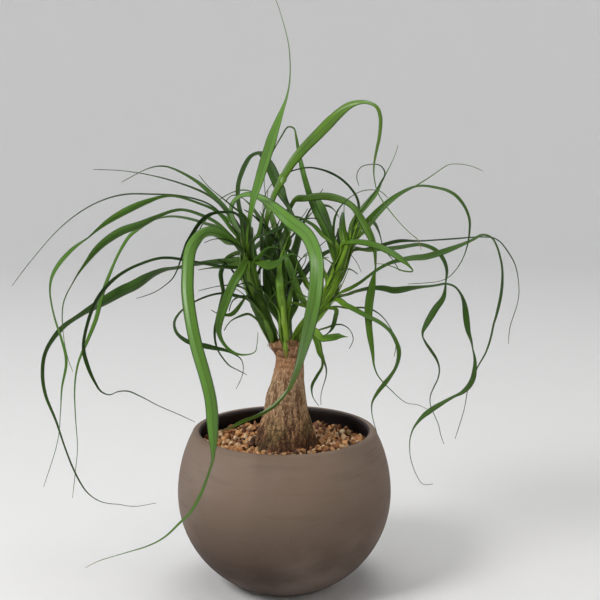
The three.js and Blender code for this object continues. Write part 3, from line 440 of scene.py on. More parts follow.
# %% The gravel's measures
GRAVEL_BED_Z = 145.0
GRAVEL_TILT = 2.5
GRAVEL_INNER = 31.0
GRAVEL_OUTER = 90.0
TRUNK_X = 1.0
STONE_PITCH = 5.6
ROW_PITCH = 0.866 * STONE_PITCH
STONE_JITTER = 2.0
STONE_RADIUS = (2.2, 4.9)
SMALL_STONES = 1.8
STONE_LIFT = (-1.2, 2.2)
STONE_KINDS = {
    "gravel_tan": {"share": 0.44, "dark": (0.3, 0.115, 0.032), "light": (0.7, 0.36, 0.14)},
    "gravel_buff": {"share": 0.24, "dark": (0.46, 0.26, 0.11), "light": (0.86, 0.64, 0.4)},
    "gravel_brown": {"share": 0.32, "dark": (0.05, 0.022, 0.012), "light": (0.32, 0.125, 0.048)},
}


def ball(detail):
    """The points and triangles of a ball made by splitting an icosahedron."""
    data = bpy.data.meshes.new("ball")
    shape = bmesh.new()
    bmesh.ops.create_icosphere(shape, subdivisions=detail, radius=1)
    shape.to_mesh(data)
    shape.free()
    points = np.array([v.co for v in data.vertices])
    faces = np.array([p.vertices for p in data.polygons])
    bpy.data.meshes.remove(data)
    return points, faces


print("gravel from", GRAVEL_INNER, "mm out, at the trunk, to", GRAVEL_OUTER, "mm out, at the pot")

# %% Shape one stone
STONE_CHIPS = 9
CHIP_LEVEL = (0.42, 0.85)
CHIP_DEPTH = 0.92
STONE_STRETCH = ((0.95, 0.8, 0.55), (1.4, 1.05, 0.85))
LARGE_STONE = 2.9
random = np.random.default_rng(31)
small_ball = ball(2)
large_ball = ball(3)
print("stones start from", len(small_ball[1]), "or", len(large_ball[1]), "triangles")


def turned(w, x, y, z):
    """The turning matrix of a unit quaternion."""
    return np.array([
        [1 - 2 * (y * y + z * z), 2 * (x * y - w * z), 2 * (x * z + w * y)],
        [2 * (x * y + w * z), 1 - 2 * (x * x + z * z), 2 * (y * z - w * x)],
        [2 * (x * z - w * y), 2 * (y * z + w * x), 1 - 2 * (x * x + y * y)],
    ])


def stone(at, radius):
    """A rounded stone, chipped flat on a few sides, longer one way and turned at random."""
    ball_points, ball_faces = large_ball if radius > LARGE_STONE else small_ball
    points = ball_points.copy()
    for _ in range(STONE_CHIPS):
        direction = random.normal(size=3)
        direction /= np.linalg.norm(direction)
        along = points @ direction
        level = random.uniform(*CHIP_LEVEL)
        points -= np.outer(np.maximum(along - level, 0) * CHIP_DEPTH, direction)
    points *= random.uniform(*STONE_STRETCH)
    turn = random.normal(size=4)
    return points @ turned(*turn / np.linalg.norm(turn)).T * radius + at, ball_faces


# %% Place the stones
def stone_places():
    """The place and radius of each stone that lies between the trunk and the pot."""
    smallest, largest = STONE_RADIUS
    rows = int(GRAVEL_OUTER / ROW_PITCH) + 1
    columns = int(GRAVEL_OUTER / STONE_PITCH) + 1
    for row in range(-rows, rows + 1):
        for column in range(-columns, columns + 1):
            x = (column + 0.5 * (row % 2)) * STONE_PITCH
            x += random.uniform(-STONE_JITTER, STONE_JITTER)
            y = row * ROW_PITCH + random.uniform(-STONE_JITTER, STONE_JITTER)
            radius = smallest + (largest - smallest) * random.uniform() ** SMALL_STONES
            out = math.hypot(x - TRUNK_X, y)
            if GRAVEL_INNER + radius * 0.5 < out and math.hypot(x, y) < GRAVEL_OUTER - radius:
                rise = GRAVEL_TILT * (1 - (out - GRAVEL_INNER) / (GRAVEL_OUTER - GRAVEL_INNER))
                yield (x, y, GRAVEL_BED_Z + rise + random.uniform(*STONE_LIFT)), radius


stones = list(stone_places())
shares = [kind["share"] for kind in STONE_KINDS.values()]
kinds = random.choice(list(STONE_KINDS), size=len(stones), p=shares)
print(len(stones), "stones")


# %% Build the gravel
def gravel_skin(name, kind):
    skin = Material(name + "_stone", Specular_IOR_Level=0.5)
    tone = skin.number("tone")
    specks = skin.noise(800, 3)
    color = skin.mix(tone, kind["dark"], kind["light"])
    deepest = tuple(0.4 * part for part in kind["dark"])
    color = skin.mix(specks.between(0.5, 0.72) * 0.6, color, deepest)
    return skin.finish(color, 0.38 + 0.4 * specks, specks, 0.4, 0.0006)


for name, kind in STONE_KINDS.items():
    points, faces, tones = [], [], []
    for k in np.flatnonzero(kinds == name):
        stone_points, stone_faces = stone(*stones[k])
        faces.append(stone_faces + sum(len(part) for part in points))
        points.append(stone_points)
        tones += [random.uniform()] * len(stone_points)
    piece = add_mesh(name, np.concatenate(points) * MM, np.concatenate(faces))
    store(piece, "tone", tones)
    dress(piece, gravel_skin(name, kind), "gravel", "gravel")

# %% [markdown]
# The bed under the stones is one rough ring of fine grit, coloured a dark red-brown as painted shade,
# which shows only as dark gaps between them.

# %% The gravel's bed
BED_RINGS = 41
BED_SIDES = 200
BED_OUTER = GRAVEL_OUTER + 1.2
BED_SINK = 0.6
BED_ROUGHNESS = 0.9
BED_GRAIN = 0.35


def ring_quads(rings, sides):
    """The four-cornered faces between rings of points."""
    first = np.arange(rings - 1)[:, None] * sides
    side = np.arange(sides)[None]
    following = (side + 1) % sides
    corners = [first + side, first + following, first + sides + following, first + sides + side]
    return np.stack(corners, axis=2).reshape(-1, 4).tolist()


bed_points = []
for out in np.linspace(GRAVEL_INNER, BED_OUTER, BED_RINGS):
    for side in range(BED_SIDES):
        angle = 2 * math.pi * side / BED_SIDES
        at = Vector((out * math.cos(angle), out * math.sin(angle), 0.0))
        height = GRAVEL_BED_Z - BED_SINK + BED_ROUGHNESS * noise.noise(at * BED_GRAIN)
        bed_points.append((at.x * MM, at.y * MM, height * MM))
# The rings go outwards, so each face is turned round to look up.
bed_faces = [quad[:1] + quad[:0:-1] for quad in ring_quads(BED_RINGS, BED_SIDES)]
bed = add_mesh("gravel_bed", bed_points, bed_faces)
shaded_grit = Material("shaded_grit", Specular_IOR_Level=0.3)
grit_noise = shaded_grit.noise(500, 5)
# Painted shade: the bed is dark, as the shade in the gaps between the stones.
shaded_grit_color = shaded_grit.mix(grit_noise.between(0.35, 0.7), (0.03, 0.013, 0.007), (0.13, 0.062, 0.03))
dress(bed, shaded_grit.finish(shaded_grit_color, 0.9, grit_noise, 0.8, 0.0015), "gravel", "gravel")

# %% [markdown]
# ## The trunk
# A ponytail palm stores water in its swollen foot. Its bark is thin cork that splits into small
# plates as the trunk swells, finer and smoother towards the top, where old leaf scars ring it. Cell
# noise gives such plates: the gap between its nearest and second nearest cell is a crack wherever it
# comes near zero. The trunk is one fine skin of rings that follows the solid's levels and lobes,
# moved in and out by those plates.

# %% The trunk's levels
# Each level: height, radius, how far the trunk leans to the side there.
TRUNK_LEVELS = [
    [140, 31.5, 1], [147, 32, 1], [158, 29.5, 1.2], [168, 27, 1.5], [177, 24, 1.6], [186, 22, 1.7],
    [199, 20, 1.8], [212, 17, 3.4], [222, 15.6, 4.6], [232, 14.4, 5.6], [240, 14.6, 5.8], [247, 16.4, 4],
    [251, 18, 2.4], [252, 17.6, 2.2],
]
TRUNK_LOBES = 7
TRUNK_LOBE_DEPTH = 0.055
TRUNK_RINGS = 250
TRUNK_SIDES = 250
CROWN_RINGS = 12
TRUNK_STEPS = 30
STEM_FEET = [(-9.8, -4), (11.5, -2), (1, 11)]
FOOT_SPREAD = 8.0
FOOT_RISE = 5.0
FEET_RISE_FROM = (240, 252)
CROWN_RISE = 0.5
SWELLING = (145, 215)


def spline_at(before, start, end, after, t):
    """A smooth curve through four points, between the second and the third."""
    return 0.5 * (2 * start + (end - before) * t + (2 * before - 5 * start + 4 * end - after) * t * t
                  + (3 * start - before - 3 * end + after) * t * t * t)


def spline_through(points, steps):
    points = np.asarray(points, float)
    last = len(points) - 1
    curve = []
    for span in range(last):
        four = [points[min(last, max(0, span + k))] for k in (-1, 0, 1, 2)]
        curve += [spline_at(*four, step / steps) for step in range(steps)]
    return np.array(curve + [points[last]])


print("trunk from", TRUNK_LEVELS[0][0], "to", TRUNK_LEVELS[-1][0], "mm")

# %% The bark's relief
BARK_SEED = 5
PLATE_DEPTH = 0.9
PLATE_GRAIN = 0.3 * Vector((1, 1, 0.32))
CHIP_GRAIN = 0.75 * Vector((1, 1, 0.45))
FISSURE_DEPTH = 1.5
FISSURES_ROUND = 5.5
FISSURE_RISE = 0.035
ROUGH_DEPTH = 0.35
SCAR_DEPTH = 0.3
SCARS_PER_MM = 0.95
LOW_BARK = (150, 200)
CORK_ENDS = (212, 234)
SCARS_START = (212, 230)

noise.seed_set(BARK_SEED)


def cell_gap(place):
    """How far a place is from the line between its two nearest cells."""
    distances, _ = noise.voronoi(place, distance_metric="DISTANCE")
    return distances[1] - distances[0]


def bark_relief(angle, z, radius):
    """How far the bark stands out from the trunk's plain form, how cracked it is there, and its scars."""
    around = Vector((math.cos(angle) * radius, math.sin(angle) * radius, z))
    wander = noise.noise_vector(around * 0.09) * 2.6
    plates = cell_gap((around + wander) * PLATE_GRAIN)
    chips = cell_gap((around + wander * 0.5) * CHIP_GRAIN)
    direction = Vector((math.cos(angle), math.sin(angle), 0)) * FISSURES_ROUND
    fissure = noise.noise(direction + Vector((0, 0, z * FISSURE_RISE)) + wander * 0.1)
    corky = 1 - 0.8 * rising(z, *CORK_ENDS)
    low = 1 - rising(z, *LOW_BARK)
    crack = max(0.0, 1 - plates * 6) * (0.45 + 0.45 * low) + max(0.0, 1 - chips * 5) * 0.4
    groove = max(0.0, 1 - abs(fissure) * 6) * (0.2 + 0.8 * low)
    broken = 0.15 + 0.85 * smooth_step(0.5 + 2.2 * noise.noise(around * 0.19))
    scars = math.sin(z * SCARS_PER_MM + 7 * noise.noise(around * 0.06)) * broken
    scars *= rising(z, *SCARS_START)
    rough = noise.fractal(around * 0.5, 0.9, 2.0, 3)
    depth = corky * (ROUGH_DEPTH * rough - PLATE_DEPTH * crack - FISSURE_DEPTH * groove * low)
    depth += SCAR_DEPTH * scars
    return depth, min(1.0, crack + groove) * corky, 0.5 + 0.5 * scars


print("relief at one place low on the bark:", round(bark_relief(0.0, 150, 32)[0], 2), "mm")

# %% Build the trunk
def ring_faces(rings, sides):
    """The faces between rings of points, and one face that closes each end."""
    top = (rings - 1) * sides
    ends = [list(range(sides - 1, -1, -1)), list(range(top, top + sides))]
    return ring_quads(rings, sides) + ends


trunk_levels = spline_through(TRUNK_LEVELS, TRUNK_STEPS)
trunk_top = TRUNK_LEVELS[-1][0]
trunk_rows = [(z, 1.0) for z in np.linspace(TRUNK_LEVELS[0][0], trunk_top, TRUNK_RINGS)]
trunk_rows += [(trunk_top, share) for share in np.linspace(0.96, 0.06, CROWN_RINGS)]
trunk_points, trunk_marks = [], []
for z, inset in trunk_rows:
    radius = np.interp(z, trunk_levels[:, 0], trunk_levels[:, 1])
    lean = np.interp(z, trunk_levels[:, 0], trunk_levels[:, 2])
    swell = 1 - rising(z, *SWELLING)
    for side in range(TRUNK_SIDES):
        angle = 2 * math.pi * side / TRUNK_SIDES
        lobes = math.sin(TRUNK_LOBES * angle + 0.02 * z) * 0.6 + math.sin(3 * angle + 1.3) * 0.4
        depth, crack, scar = bark_relief(angle, z, radius)
        out = (radius * (1 + TRUNK_LOBE_DEPTH * swell * lobes) + depth) * inset
        x = lean + out * math.cos(angle)
        y = out * math.sin(angle)
        near = max(math.exp(-(math.dist((x, y), foot) / FOOT_SPREAD) ** 2) for foot in STEM_FEET)
        rise = FOOT_RISE * near * rising(z, *FEET_RISE_FROM) + (1 - inset) * CROWN_RISE
        trunk_points.append((x * MM, y * MM, (z + rise) * MM))
        trunk_marks.append((crack, scar, noise.noise(Vector((x, y, z)) * 0.05)))
trunk = add_mesh("corky_trunk", trunk_points, ring_faces(len(trunk_rows), TRUNK_SIDES))
store(trunk, "bark", trunk_marks)
print(len(trunk_rows), "rings of", TRUNK_SIDES, "points in the trunk")

# %% The bark
bark = Material("cork_bark", Specular_IOR_Level=0.25)
height = bark.height()
crack = bark.part("bark", 0)
scar = bark.part("bark", 1)
drift = bark.part("bark", 2)
plates = bark.noise(260, 4, (1, 1, 0.22))
flecks = bark.noise(700, 3, (1, 1, 0.4))
bark_color = bark.mix(plates.between(0.4, 0.6), (0.2, 0.108, 0.054), (0.52, 0.34, 0.195))
bark_color = bark.mix(flecks.between(0.52, 0.64) * 0.65, bark_color, (0.68, 0.5, 0.32))
low = 1 - height.between(0.155, 0.2)
low_color = bark.mix(plates.between(0.44, 0.58), (0.085, 0.032, 0.016), (0.54, 0.285, 0.115))
bark_color = bark.mix(low * 0.75, bark_color, low_color)
mossy = low * drift.between(0.05, 0.3)
bark_color = bark.mix(mossy * 0.5, bark_color, (0.2, 0.18, 0.07))
# Painted shade: the bark darkens in patches towards its foot, just above the gravel.
foot_shade = (1 - height.between(0.147, 0.172)) * plates.between(0.34, 0.54)
bark_color = bark.mix(foot_shade * 0.72, bark_color, (0.045, 0.019, 0.014))
pits = 1 - bark.noise(1000, 2, (1, 1, 0.4)).between(0.36, 0.47)
bark_color = bark.mix(pits * 0.55, bark_color, (0.11, 0.052, 0.03))
scarred = height.between(0.214, 0.236)
scar_color = bark.mix(scar.between(0.1, 0.75), (0.23, 0.1, 0.042), (0.37, 0.178, 0.085))
scar_color = bark.mix(flecks.between(0.5, 0.66) * 0.5, scar_color, (0.62, 0.4, 0.24))
bark_color = bark.mix(scarred * 0.85, bark_color, scar_color)
# The cracks are darkened: painted shade in them, and partly the darker cork at their floor.
bark_color = bark.mix(crack.between(0.2, 0.95) * 0.72, bark_color, (0.06, 0.028, 0.018))
bark_relief_height = plates * 0.5 + flecks * 0.5
dress(trunk, bark.finish(bark_color, 0.88, bark_relief_height, 0.6, 0.001), "bark", "trunk")

# %% [markdown]
# ## The leaves' routes
# Every leaf that shows clearly was drawn, as it is seen, on an upright plane through the
# pot's axis. A route also says how far the leaf comes forward or goes back and how its blade is
# turned, so that it is a true curve in space. These are the routes that the solids were made from, so
# the finer blades fit them.

# %% Stems of the heads
# Each stem: across, back, up and radius at each level.
STEM_SEAT_Z = 252.3
STEMS = {
    "left": [[-9.8, -4, STEM_SEAT_Z, 5.2], [-12.5, -5, 262, 5.8], [-21.5, -7, 284, 6.8],
             [-30, -9, 308, 7.6], [-35, -10, 328, 7.8], [-38, -10, 346, 3.6]],
    "right": [[11.5, -2, STEM_SEAT_Z, 5], [15.5, -2, 262, 5.6], [32, -4, 284, 6.5], [46, -5, 306, 7],
              [57, -5, 330, 6.8], [65, -5, 354, 3.2]],
    "middle": [[1, 11, STEM_SEAT_Z, 5.4], [1, 14, 266, 5.8], [0, 22, 290, 6.6], [-1, 28, 312, 6.8],
               [-2, 32, 334, 3.2]],
    "front": [[1.5, -14.5, STEM_SEAT_Z, 2.8], [1, -17, 262, 3.2], [-0.5, -20, 280, 3.2],
              [-1.5, -22, 296, 2]],
}
STEM_STEPS = 6
stem_curves = {head: spline_through(rows, STEM_STEPS) for head, rows in STEMS.items()}
print("stems:", ", ".join(stem_curves))


def point_along(curve, share):
    at = min(len(curve) - 1, max(0.0, share * (len(curve) - 1)))
    low = min(len(curve) - 2, int(at))
    return curve[low] + (curve[low + 1] - curve[low]) * (at - low)


# %% Leaves drawn one by one
# Each leaf: its width, the share of its length where it narrows, the share of the stem where it leaves,
# its depths towards the viewer, and its points as across, up and the blade's turn in degrees.
LEFT_LEAVES = [
  [3.8, 0.5, 0.95, [8, 0, -20, -45, -70], [[-44, 360, 60], [-69, 392, 65], [-99, 403.5, 70],
    [-134, 406, 70], [-164, 405, 70], [-194, 394, 65], [-224, 372, 65], [-254, 338, 65],
    [-272, 314, 65]]],
  [7, 0.55, 0.9, [10, 30, 55, 75, 85, 80, 75], [[-44, 355, 60], [-64, 385, 68], [-84, 396, 74],
    [-112, 404, 78], [-134, 399, 50], [-154, 391, 12], [-174, 379.5, 40], [-194, 364, 86],
    [-214, 348, 125], [-229, 329, 122], [-234, 310, 98], [-230, 285, 105], [-222, 260, 125],
    [-217.5, 238, 148], [-222, 212, 135], [-223.5, 188, 105], [-227, 156, 100], [-240.5, 113, 110]]],
  [8.5, 0.6, 0.85, [12, 5, -10, -25, -35], [[-44, 350, 60], [-64, 374, 68], [-84, 385, 72],
    [-104, 390, 74], [-124, 384, 66], [-144, 375, 32], [-164, 368, 12], [-184, 353.5, 35],
    [-199, 335, 62], [-209, 321, 85], [-220.5, 297, 105], [-221, 268, 105], [-216.5, 243, 110],
    [-211, 228, 110]]],
  [7, 0.55, 0.8, [-6, -40, -70, -85, -80], [[-39, 342, 55], [-59, 369, 60], [-79, 377, 66],
    [-99, 382.5, 72], [-117, 383.5, 76], [-134, 378, 95], [-154, 365, 122], [-162, 353, 116],
    [-167, 344, 108], [-176, 323, 120], [-183, 303, 130], [-188, 282, 140], [-197, 259, 140],
    [-206, 237, 125], [-209.5, 212, 120], [-208.5, 182, 115], [-206.5, 153, 115], [-208.7, 128, 115],
    [-211.5, 102, 115]]],
  [11.5, 0.5, 0.7, [-6, -50, -90, -105, -95, -80, -75], [[-44, 336, 40], [-75, 337, 70],
    [-106, 332, 78], [-119, 330, 68], [-134, 324, 50], [-149, 315, 15], [-164, 308, 10],
    [-184, 296, 35], [-204, 284, 68], [-222, 271, 60], [-237, 250, 65], [-241, 228, 60],
    [-238, 205, 60], [-228, 180, 65], [-219, 153, 70], [-209, 128, 55], [-197, 108, 60], [-182, 98, 70],
    [-164, 95.5, 75], [-149, 93.5, 80], [-128, 97, 80]]],
  [6, 0.65, 0.6, [8, 30, 40, 45, 55, 60], [[-34, 328, 40], [-62, 333, 60], [-88, 337.5, 65],
    [-119, 342, 65], [-144, 335.5, 65], [-164, 325, 60], [-180, 310, 50], [-192, 289, 55],
    [-200, 257, 60], [-196, 234, 40], [-186, 213, 60], [-178, 205, 80], [-170, 207, 80],
    [-158, 209.5, 60], [-141, 202.5, 60], [-126, 194.5, 65], [-104, 185, 65], [-89, 178, 65]]],
  [5, 0.6, 0.95, [14, 40, 75, 95], [[-40, 362, 50], [-44, 384, 55], [-52, 388, 60], [-62, 388, 60],
    [-71, 387, 50], [-79, 383, 40], [-84, 378, 35], [-89, 371, 40], [-94, 363, 50], [-99, 354, 60],
    [-107, 330, 65], [-113, 320, 60], [-129, 308, 60], [-148, 301.5, 60]]],
  [11.8, 0.55, 0.9, [10, 62, 92, 108, 116, 116, 108, 85, 60], [[-39, 340, 0], [-47, 350, 0],
    [-56, 360, 15], [-66, 367, 30], [-75, 368, 35], [-81, 366, 30], [-86, 362, 15], [-92, 354, 5],
    [-95, 344, 0], [-96, 332, 0], [-96.5, 308, 0], [-93, 280, 0], [-87, 252, 5], [-79, 225, 15],
    [-73, 200, 18], [-71, 175, 15], [-70, 152, 50], [-70.5, 142, 80], [-74, 130, 84], [-81, 110, 66],
    [-92, 89, 60], [-104, 77, 66], [-119, 63, 68], [-136, 54, 68], [-159, 47, 68], [-184, 39.5, 68],
    [-199, 32, 68]]],
  [4.5, 0.45, 0.9, [0, -30, -60, -90], [[-44, 372, 50], [-59, 391, 55], [-77, 406, 60], [-104, 417, 60],
    [-134, 425, 60], [-164, 429.5, 60], [-191, 430.5, 60]]],
  [7, 0.5, 0.95, [-4, -40, -80, -110], [[-38, 354, 30], [-44, 365, 30], [-55, 387, 40], [-69, 403, 45],
    [-86, 418, 50], [-106, 429.5, 50], [-121, 434, 50], [-136, 431.5, 50], [-154, 422.5, 50],
    [-163, 417.5, 50]]],
  [4.5, 0.4, 0.95, [18, 45, 70], [[-36, 378, 50], [-53, 395, 55], [-74, 412, 60], [-85, 425, 60]]],
  [10.5, 0.8, 0.95, [-8, -20, -26, -14, 10], [[-36, 360, 62], [-40, 378, 66], [-44, 392, 67],
    [-45.5, 404, 67], [-45, 416, 66], [-41, 429, 62], [-36, 439, 62], [-30, 446, 66], [-25, 447, 72],
    [-20, 442, 50], [-14, 433, 12], [-8, 420, 0], [-2, 406, 0], [4, 394, 0], [10, 384, 10],
    [15, 374, 30]]],
  [10, 0.5, 0.95, [4, 32, 62, 84, 92, 92, 84], [[-34, 350, 70], [-34, 368, 70], [-34, 380, 65],
    [-32, 390, 60], [-30, 402, 50], [-26, 415, 35], [-18, 442, 10], [-9, 470, 15], [-4, 483, 40],
    [3, 503, 74], [6, 525, 84], [5, 552, 82], [0, 575, 78], [-7, 597, 75], [-12, 606, 75]]],
  [12.8, 0.84, 0.9, [4, 10, 34, 82, 140, 164, 158, 126, 66, 14, -12], [[-43, 362, 60], [-49, 378, 68],
    [-52.5, 389, 72], [-50.5, 397, 72], [-44, 403, 74], [-36, 405, 72], [-27, 403, 64],
    [-18, 398.5, 54], [-9, 392, 42], [0, 384, 26], [8, 377, 10], [16, 371.5, 0], [22, 366, 0],
    [27, 358, 0], [31, 347, 0], [33, 335, 0], [32.5, 319, 0], [31, 304, 5], [28, 288, 10],
    [24, 271, 24], [19.5, 254, 44], [15, 238, 58], [10, 224, 66], [5, 212, 78], [-1, 204, 84],
    [-11, 194, 82], [-26, 185, 66], [-41, 179, 35], [-52, 173, 20], [-62, 169, 30], [-71, 163, 45]]],
  [9, 0.6, 0.75, [16, 46, 62, 60, 50], [[-24, 333, 40], [-38, 334, 30], [-44, 328, 0], [-49, 320, 0],
    [-54, 310, 10], [-58, 300, 15], [-65, 280, 25], [-66, 270, 50], [-64, 262, 60], [-56, 251, 50],
    [-44, 245, 50], [-31, 247, 60], [-27.5, 252, 60], [-26, 268, 60]]],
  [6, 0.7, 0.4, [12, 36, 46, 40, 30, 24], [[-26, 290, 35], [-44, 302, 45], [-64, 306.5, 75],
    [-89, 298.5, 80], [-106, 285, 110], [-109, 271, 115], [-97, 259, 140], [-82, 255, 150],
    [-69, 252, 155], [-56, 249, 145], [-43, 241, 110], [-41, 227, 110], [-48, 211, 110]]],
  [5.5, 0.75, 0.8, [-4, -20, -16, -6, 0], [[-44, 342, 40], [-54, 344, 35], [-62, 330, 25],
    [-63, 320, 45], [-60, 310, 40], [-65, 287, 50], [-69, 268, 60], [-66, 250, 75], [-55, 235, 45],
    [-48, 231, 20], [-37, 225, 50]]],
  [5, 0.5, 0.7, [-4, -16, -28], [[-44, 332, 30], [-69, 332.5, 10], [-86, 330, 50]]],
  [6.5, 0.6, 0.5, [12, 22, 28, 32], [[-22, 297, 20], [-34, 292, 15], [-49, 286, 30], [-62, 285, 35],
    [-73, 290, 55]]],
  [4, 0.55, 0.25, [10, 10, 6], [[-26, 275, 40], [-38, 284.5, 45], [-53, 279, 30], [-60, 269, 35]]],
  [3.5, 0.4, 0.45, [4, -4, -12], [[-30, 297, 40], [-47, 313, 50], [-64, 314, 55], [-86, 309, 60]]],
  [3.5, 0.6, 0.45, [18, 14, 8], [[-32, 293, 40], [-44, 300, 50], [-52, 298, 40], [-55, 288, 20]]],
  [7, 0.7, 0.7, [2, 12, 20], [[-26, 328, 30], [-16, 332, 20], [-9, 338, 15], [-4, 342, 50]]],
  [5, 0.6, 0.85, [2, 0, -8], [[-29, 356, 40], [-24, 370, 50], [-22, 382, 50], [-18, 396, 50],
    [-16, 410, 55]]],
  [7.5, 0.6, 0.75, [18, 42, 54, 50], [[-30, 334, 30], [-20, 333, 25], [-8, 336, 10], [0, 343, 20],
    [10, 346, 50], [18, 341, 65]]],
]
print(len(LEFT_LEAVES), "leaves drawn on the left head")

# %% Leaves of the right head
RIGHT_LEAVES = [
  [4, 0.5, 0.85, [-6, -60, -95, -110, -110], [[72, 347, 40], [99, 355, 20], [116, 359, 25],
    [136, 359, 70], [168, 361, 70], [197, 363, 70], [213, 360.5, 60], [224, 348, 50], [232, 332.5, 50],
    [235, 310, 55], [233, 295, 55], [226, 273, 50], [224.5, 256, 60]]],
  [6.5, 0.6, 0.45, [14, 40, 50, 40, 20, 10, 0], [[61, 308, 50], [76, 317, 65], [92, 329, 65],
    [107, 337, 60], [126, 341.5, 40], [141, 343, 18], [159, 348, 24], [178, 355, 60], [193, 362, 74],
    [201, 365.5, 80], [209, 361, 78], [214, 350, 78], [218, 331, 76], [217, 308, 62], [213, 288, 50],
    [209.6, 276.5, 70], [206, 260, 50], [200.5, 245, 60], [193, 232, 55], [184, 211, 60],
    [180, 190, 60], [171, 161, 60]]],
  [7.2, 0.78, 0.45, [-6, -40, -60, -60, -40, -10, 10], [[54, 297, 50], [66, 306, 64], [84, 311, 60],
    [98, 311.5, 38], [111, 309.5, 5], [126, 311.5, 48], [149, 314, 78], [164, 316, 78], [174, 310, 78],
    [180, 296, 52], [182, 282, 8], [184, 268, 50], [188, 255, 80], [190.5, 238, 118], [188, 220, 148],
    [179.5, 209, 132], [168, 203, 104], [154, 195, 138], [140, 185, 138], [130, 173, 112],
    [126, 160, 95], [127, 140, 95], [134.6, 121, 100], [140, 115.5, 100], [149, 116, 100]]],
  [7, 0.65, 0.8, [0, -2, 6, 12, 10, 8], [[69, 346, 60], [92, 350, 58], [111, 351.6, 52], [126, 354, 58],
    [137.6, 355, 62], [149, 351, 52], [157, 344, 50], [162, 332, 62], [162, 320, 80], [159, 303, 135],
    [153, 294, 162], [145, 281, 162], [139.5, 271, 125], [138.5, 265, 98], [143, 254, 60],
    [150, 245, 50], [155, 233, 75], [154, 222, 75], [149, 211, 60], [145.5, 199, 80], [149, 188, 60],
    [154, 177, 60], [157, 164, 60], [160, 156, 60]]],
  [5, 0.6, 0.9, [10, 50, 85, 100, 105, 100, 90], [[80, 375, 10], [103, 398, 50], [118, 408, 62],
    [130, 413, 70], [141, 414, 70], [157, 411, 60], [168, 407, 50], [178, 397, 55], [185, 382, 50],
    [185, 365, 55], [182, 350, 70], [176, 336, 70], [168, 326, 70], [160, 320, 70], [146, 317.5, 70],
    [124, 316, 70]]],
  [5, 0.45, 0.9, [4, -25, -55, -80], [[76, 360, 30], [86, 375, 40], [101, 392, 60], [116, 405, 65],
    [130, 413, 70], [146, 423, 70], [164, 435, 70], [174, 436, 70], [187, 434, 70], [199, 429, 70]]],
  [7, 0.5, 0.95, [2, -20, -45, -60], [[72, 380, 35], [80, 392, 30], [92, 407, 40], [98, 419, 65],
    [105, 432, 65], [111, 445, 65], [114, 455, 65]]],
  [3, 0.6, 0.9, [6, 12, 18, 24], [[70, 378, 50], [79, 391, 50], [94, 412, 50], [101, 426, 50],
    [99, 433, 50], [92, 435.5, 50], [82, 435, 50], [75, 431, 50], [72.5, 422, 50], [75, 414, 50]]],
  [3, 0.5, 0.65, [6, 24, 46, 60], [[51, 340, 20], [50, 355, 20], [49.5, 370, 30], [51.6, 384, 35],
    [57, 394, 50], [66, 402.5, 60], [78, 409, 60], [92, 410, 60], [100, 406.5, 60], [104, 402, 60]]],
  [6.5, 0.76, 0.4, [14, 50, 72, 84, 86, 84], [[51, 298, 30], [61, 295, 35], [71, 290, 40],
    [84, 283, 45], [95, 277.5, 52], [105, 269.5, 60], [111, 260, 58], [114.5, 249, 40], [113, 237, 62],
    [109, 228.5, 72], [103, 220, 50], [94, 208.5, 30], [88.5, 199, 48], [87.5, 190, 80], [90, 177, 60],
    [93, 167, 60]]],
  [3, 0.5, 0.4, [8, 0, -10, -20], [[52, 286, 40], [68, 291.5, 50], [81, 292, 55], [92.5, 288, 60],
    [102, 279, 60], [109, 267, 60], [112, 256, 60], [110, 243, 60]]],
  [6.5, 0.7, 0.75, [14, 54, 74, 78, 72], [[56, 355, 45], [71, 358.5, 40], [86, 356.5, 20],
    [101, 351, 15], [113, 344, 20], [123, 336.5, 50], [129.5, 331, 75], [126, 327.5, 75],
    [116, 330, 60], [104, 335, 60], [90, 336.5, 70]]],
  [7, 0.84, 0.15, [10, 26, 44], [[26, 268, 20], [34, 262, 15], [44, 262, 0], [57, 263.5, 30],
    [64, 263, 30]]],
  [3, 0.5, 0.15, [4, 0, -8, -12], [[34, 264, 40], [43, 272, 50], [53, 275.5, 50], [61, 274, 50],
    [68, 267, 50], [69, 259, 50], [65, 251, 50]]],
  [6, 0.45, 0.12, [10, 24, 30, 30], [[28, 258, 20], [34, 250, 0], [38, 242, 45], [41, 234, 70],
    [43, 228, 72], [40, 217, 70], [37, 205, 70], [37, 195, 70]]],
  [4, 0.75, 0.2, [4, 10, 12, 12], [[32, 255, 40], [38, 240, 60], [37, 230, 55], [32, 223, 30],
    [28, 215, 30], [27.5, 207, 70], [31, 199, 60], [35, 194, 50]]],
  [4.5, 0.8, 0.35, [20, 36, 38], [[51, 290, 10], [50.5, 280, 10], [47, 270, 35], [39, 263.5, 40]]],
  [7, 0.5, 0.6, [2, -5, -25, -40, -48], [[50, 334, 45], [47, 352, 40], [41.7, 368, 25], [31, 390, 15],
    [22.5, 414, 35], [16.5, 437, 45], [13, 456, 50], [10.5, 470, 60], [6.5, 475, 70], [1, 469, 70],
    [-8, 454, 60], [-15, 440, 70], [-19.5, 425, 60], [-19, 408, 60], [-16, 392, 60]]],
  [4.5, 0.5, 0.9, [10, -8, -20, -22], [[66, 372, 40], [75, 393, 55], [68.5, 410, 60], [51.6, 425, 60],
    [29, 432.4, 60], [11, 430, 55], [-6, 422, 55], [-19.5, 404, 55], [-21, 381, 55]]],
  [8, 0.6, 0.25, [0, 2, -2, -8], [[21, 285, 30], [15, 304, 20], [10, 320, 10], [4, 337, 10],
    [-2, 352, 20], [-6, 364, 40], [-9, 374, 50]]],
  [6.5, 0.6, 0.35, [-4, -12, -22, -30], [[25, 300, 30], [22, 316, 35], [15, 331, 20], [8, 344, 20],
    [1, 357, 30], [-1, 370, 50]]],
  [6, 0.6, 0.3, [4, 10, 12], [[24, 280, 10], [15, 288, 10], [7, 295, 20], [0, 299, 40], [-4, 299, 50]]],
]
print(len(RIGHT_LEAVES), "leaves drawn on the right head")

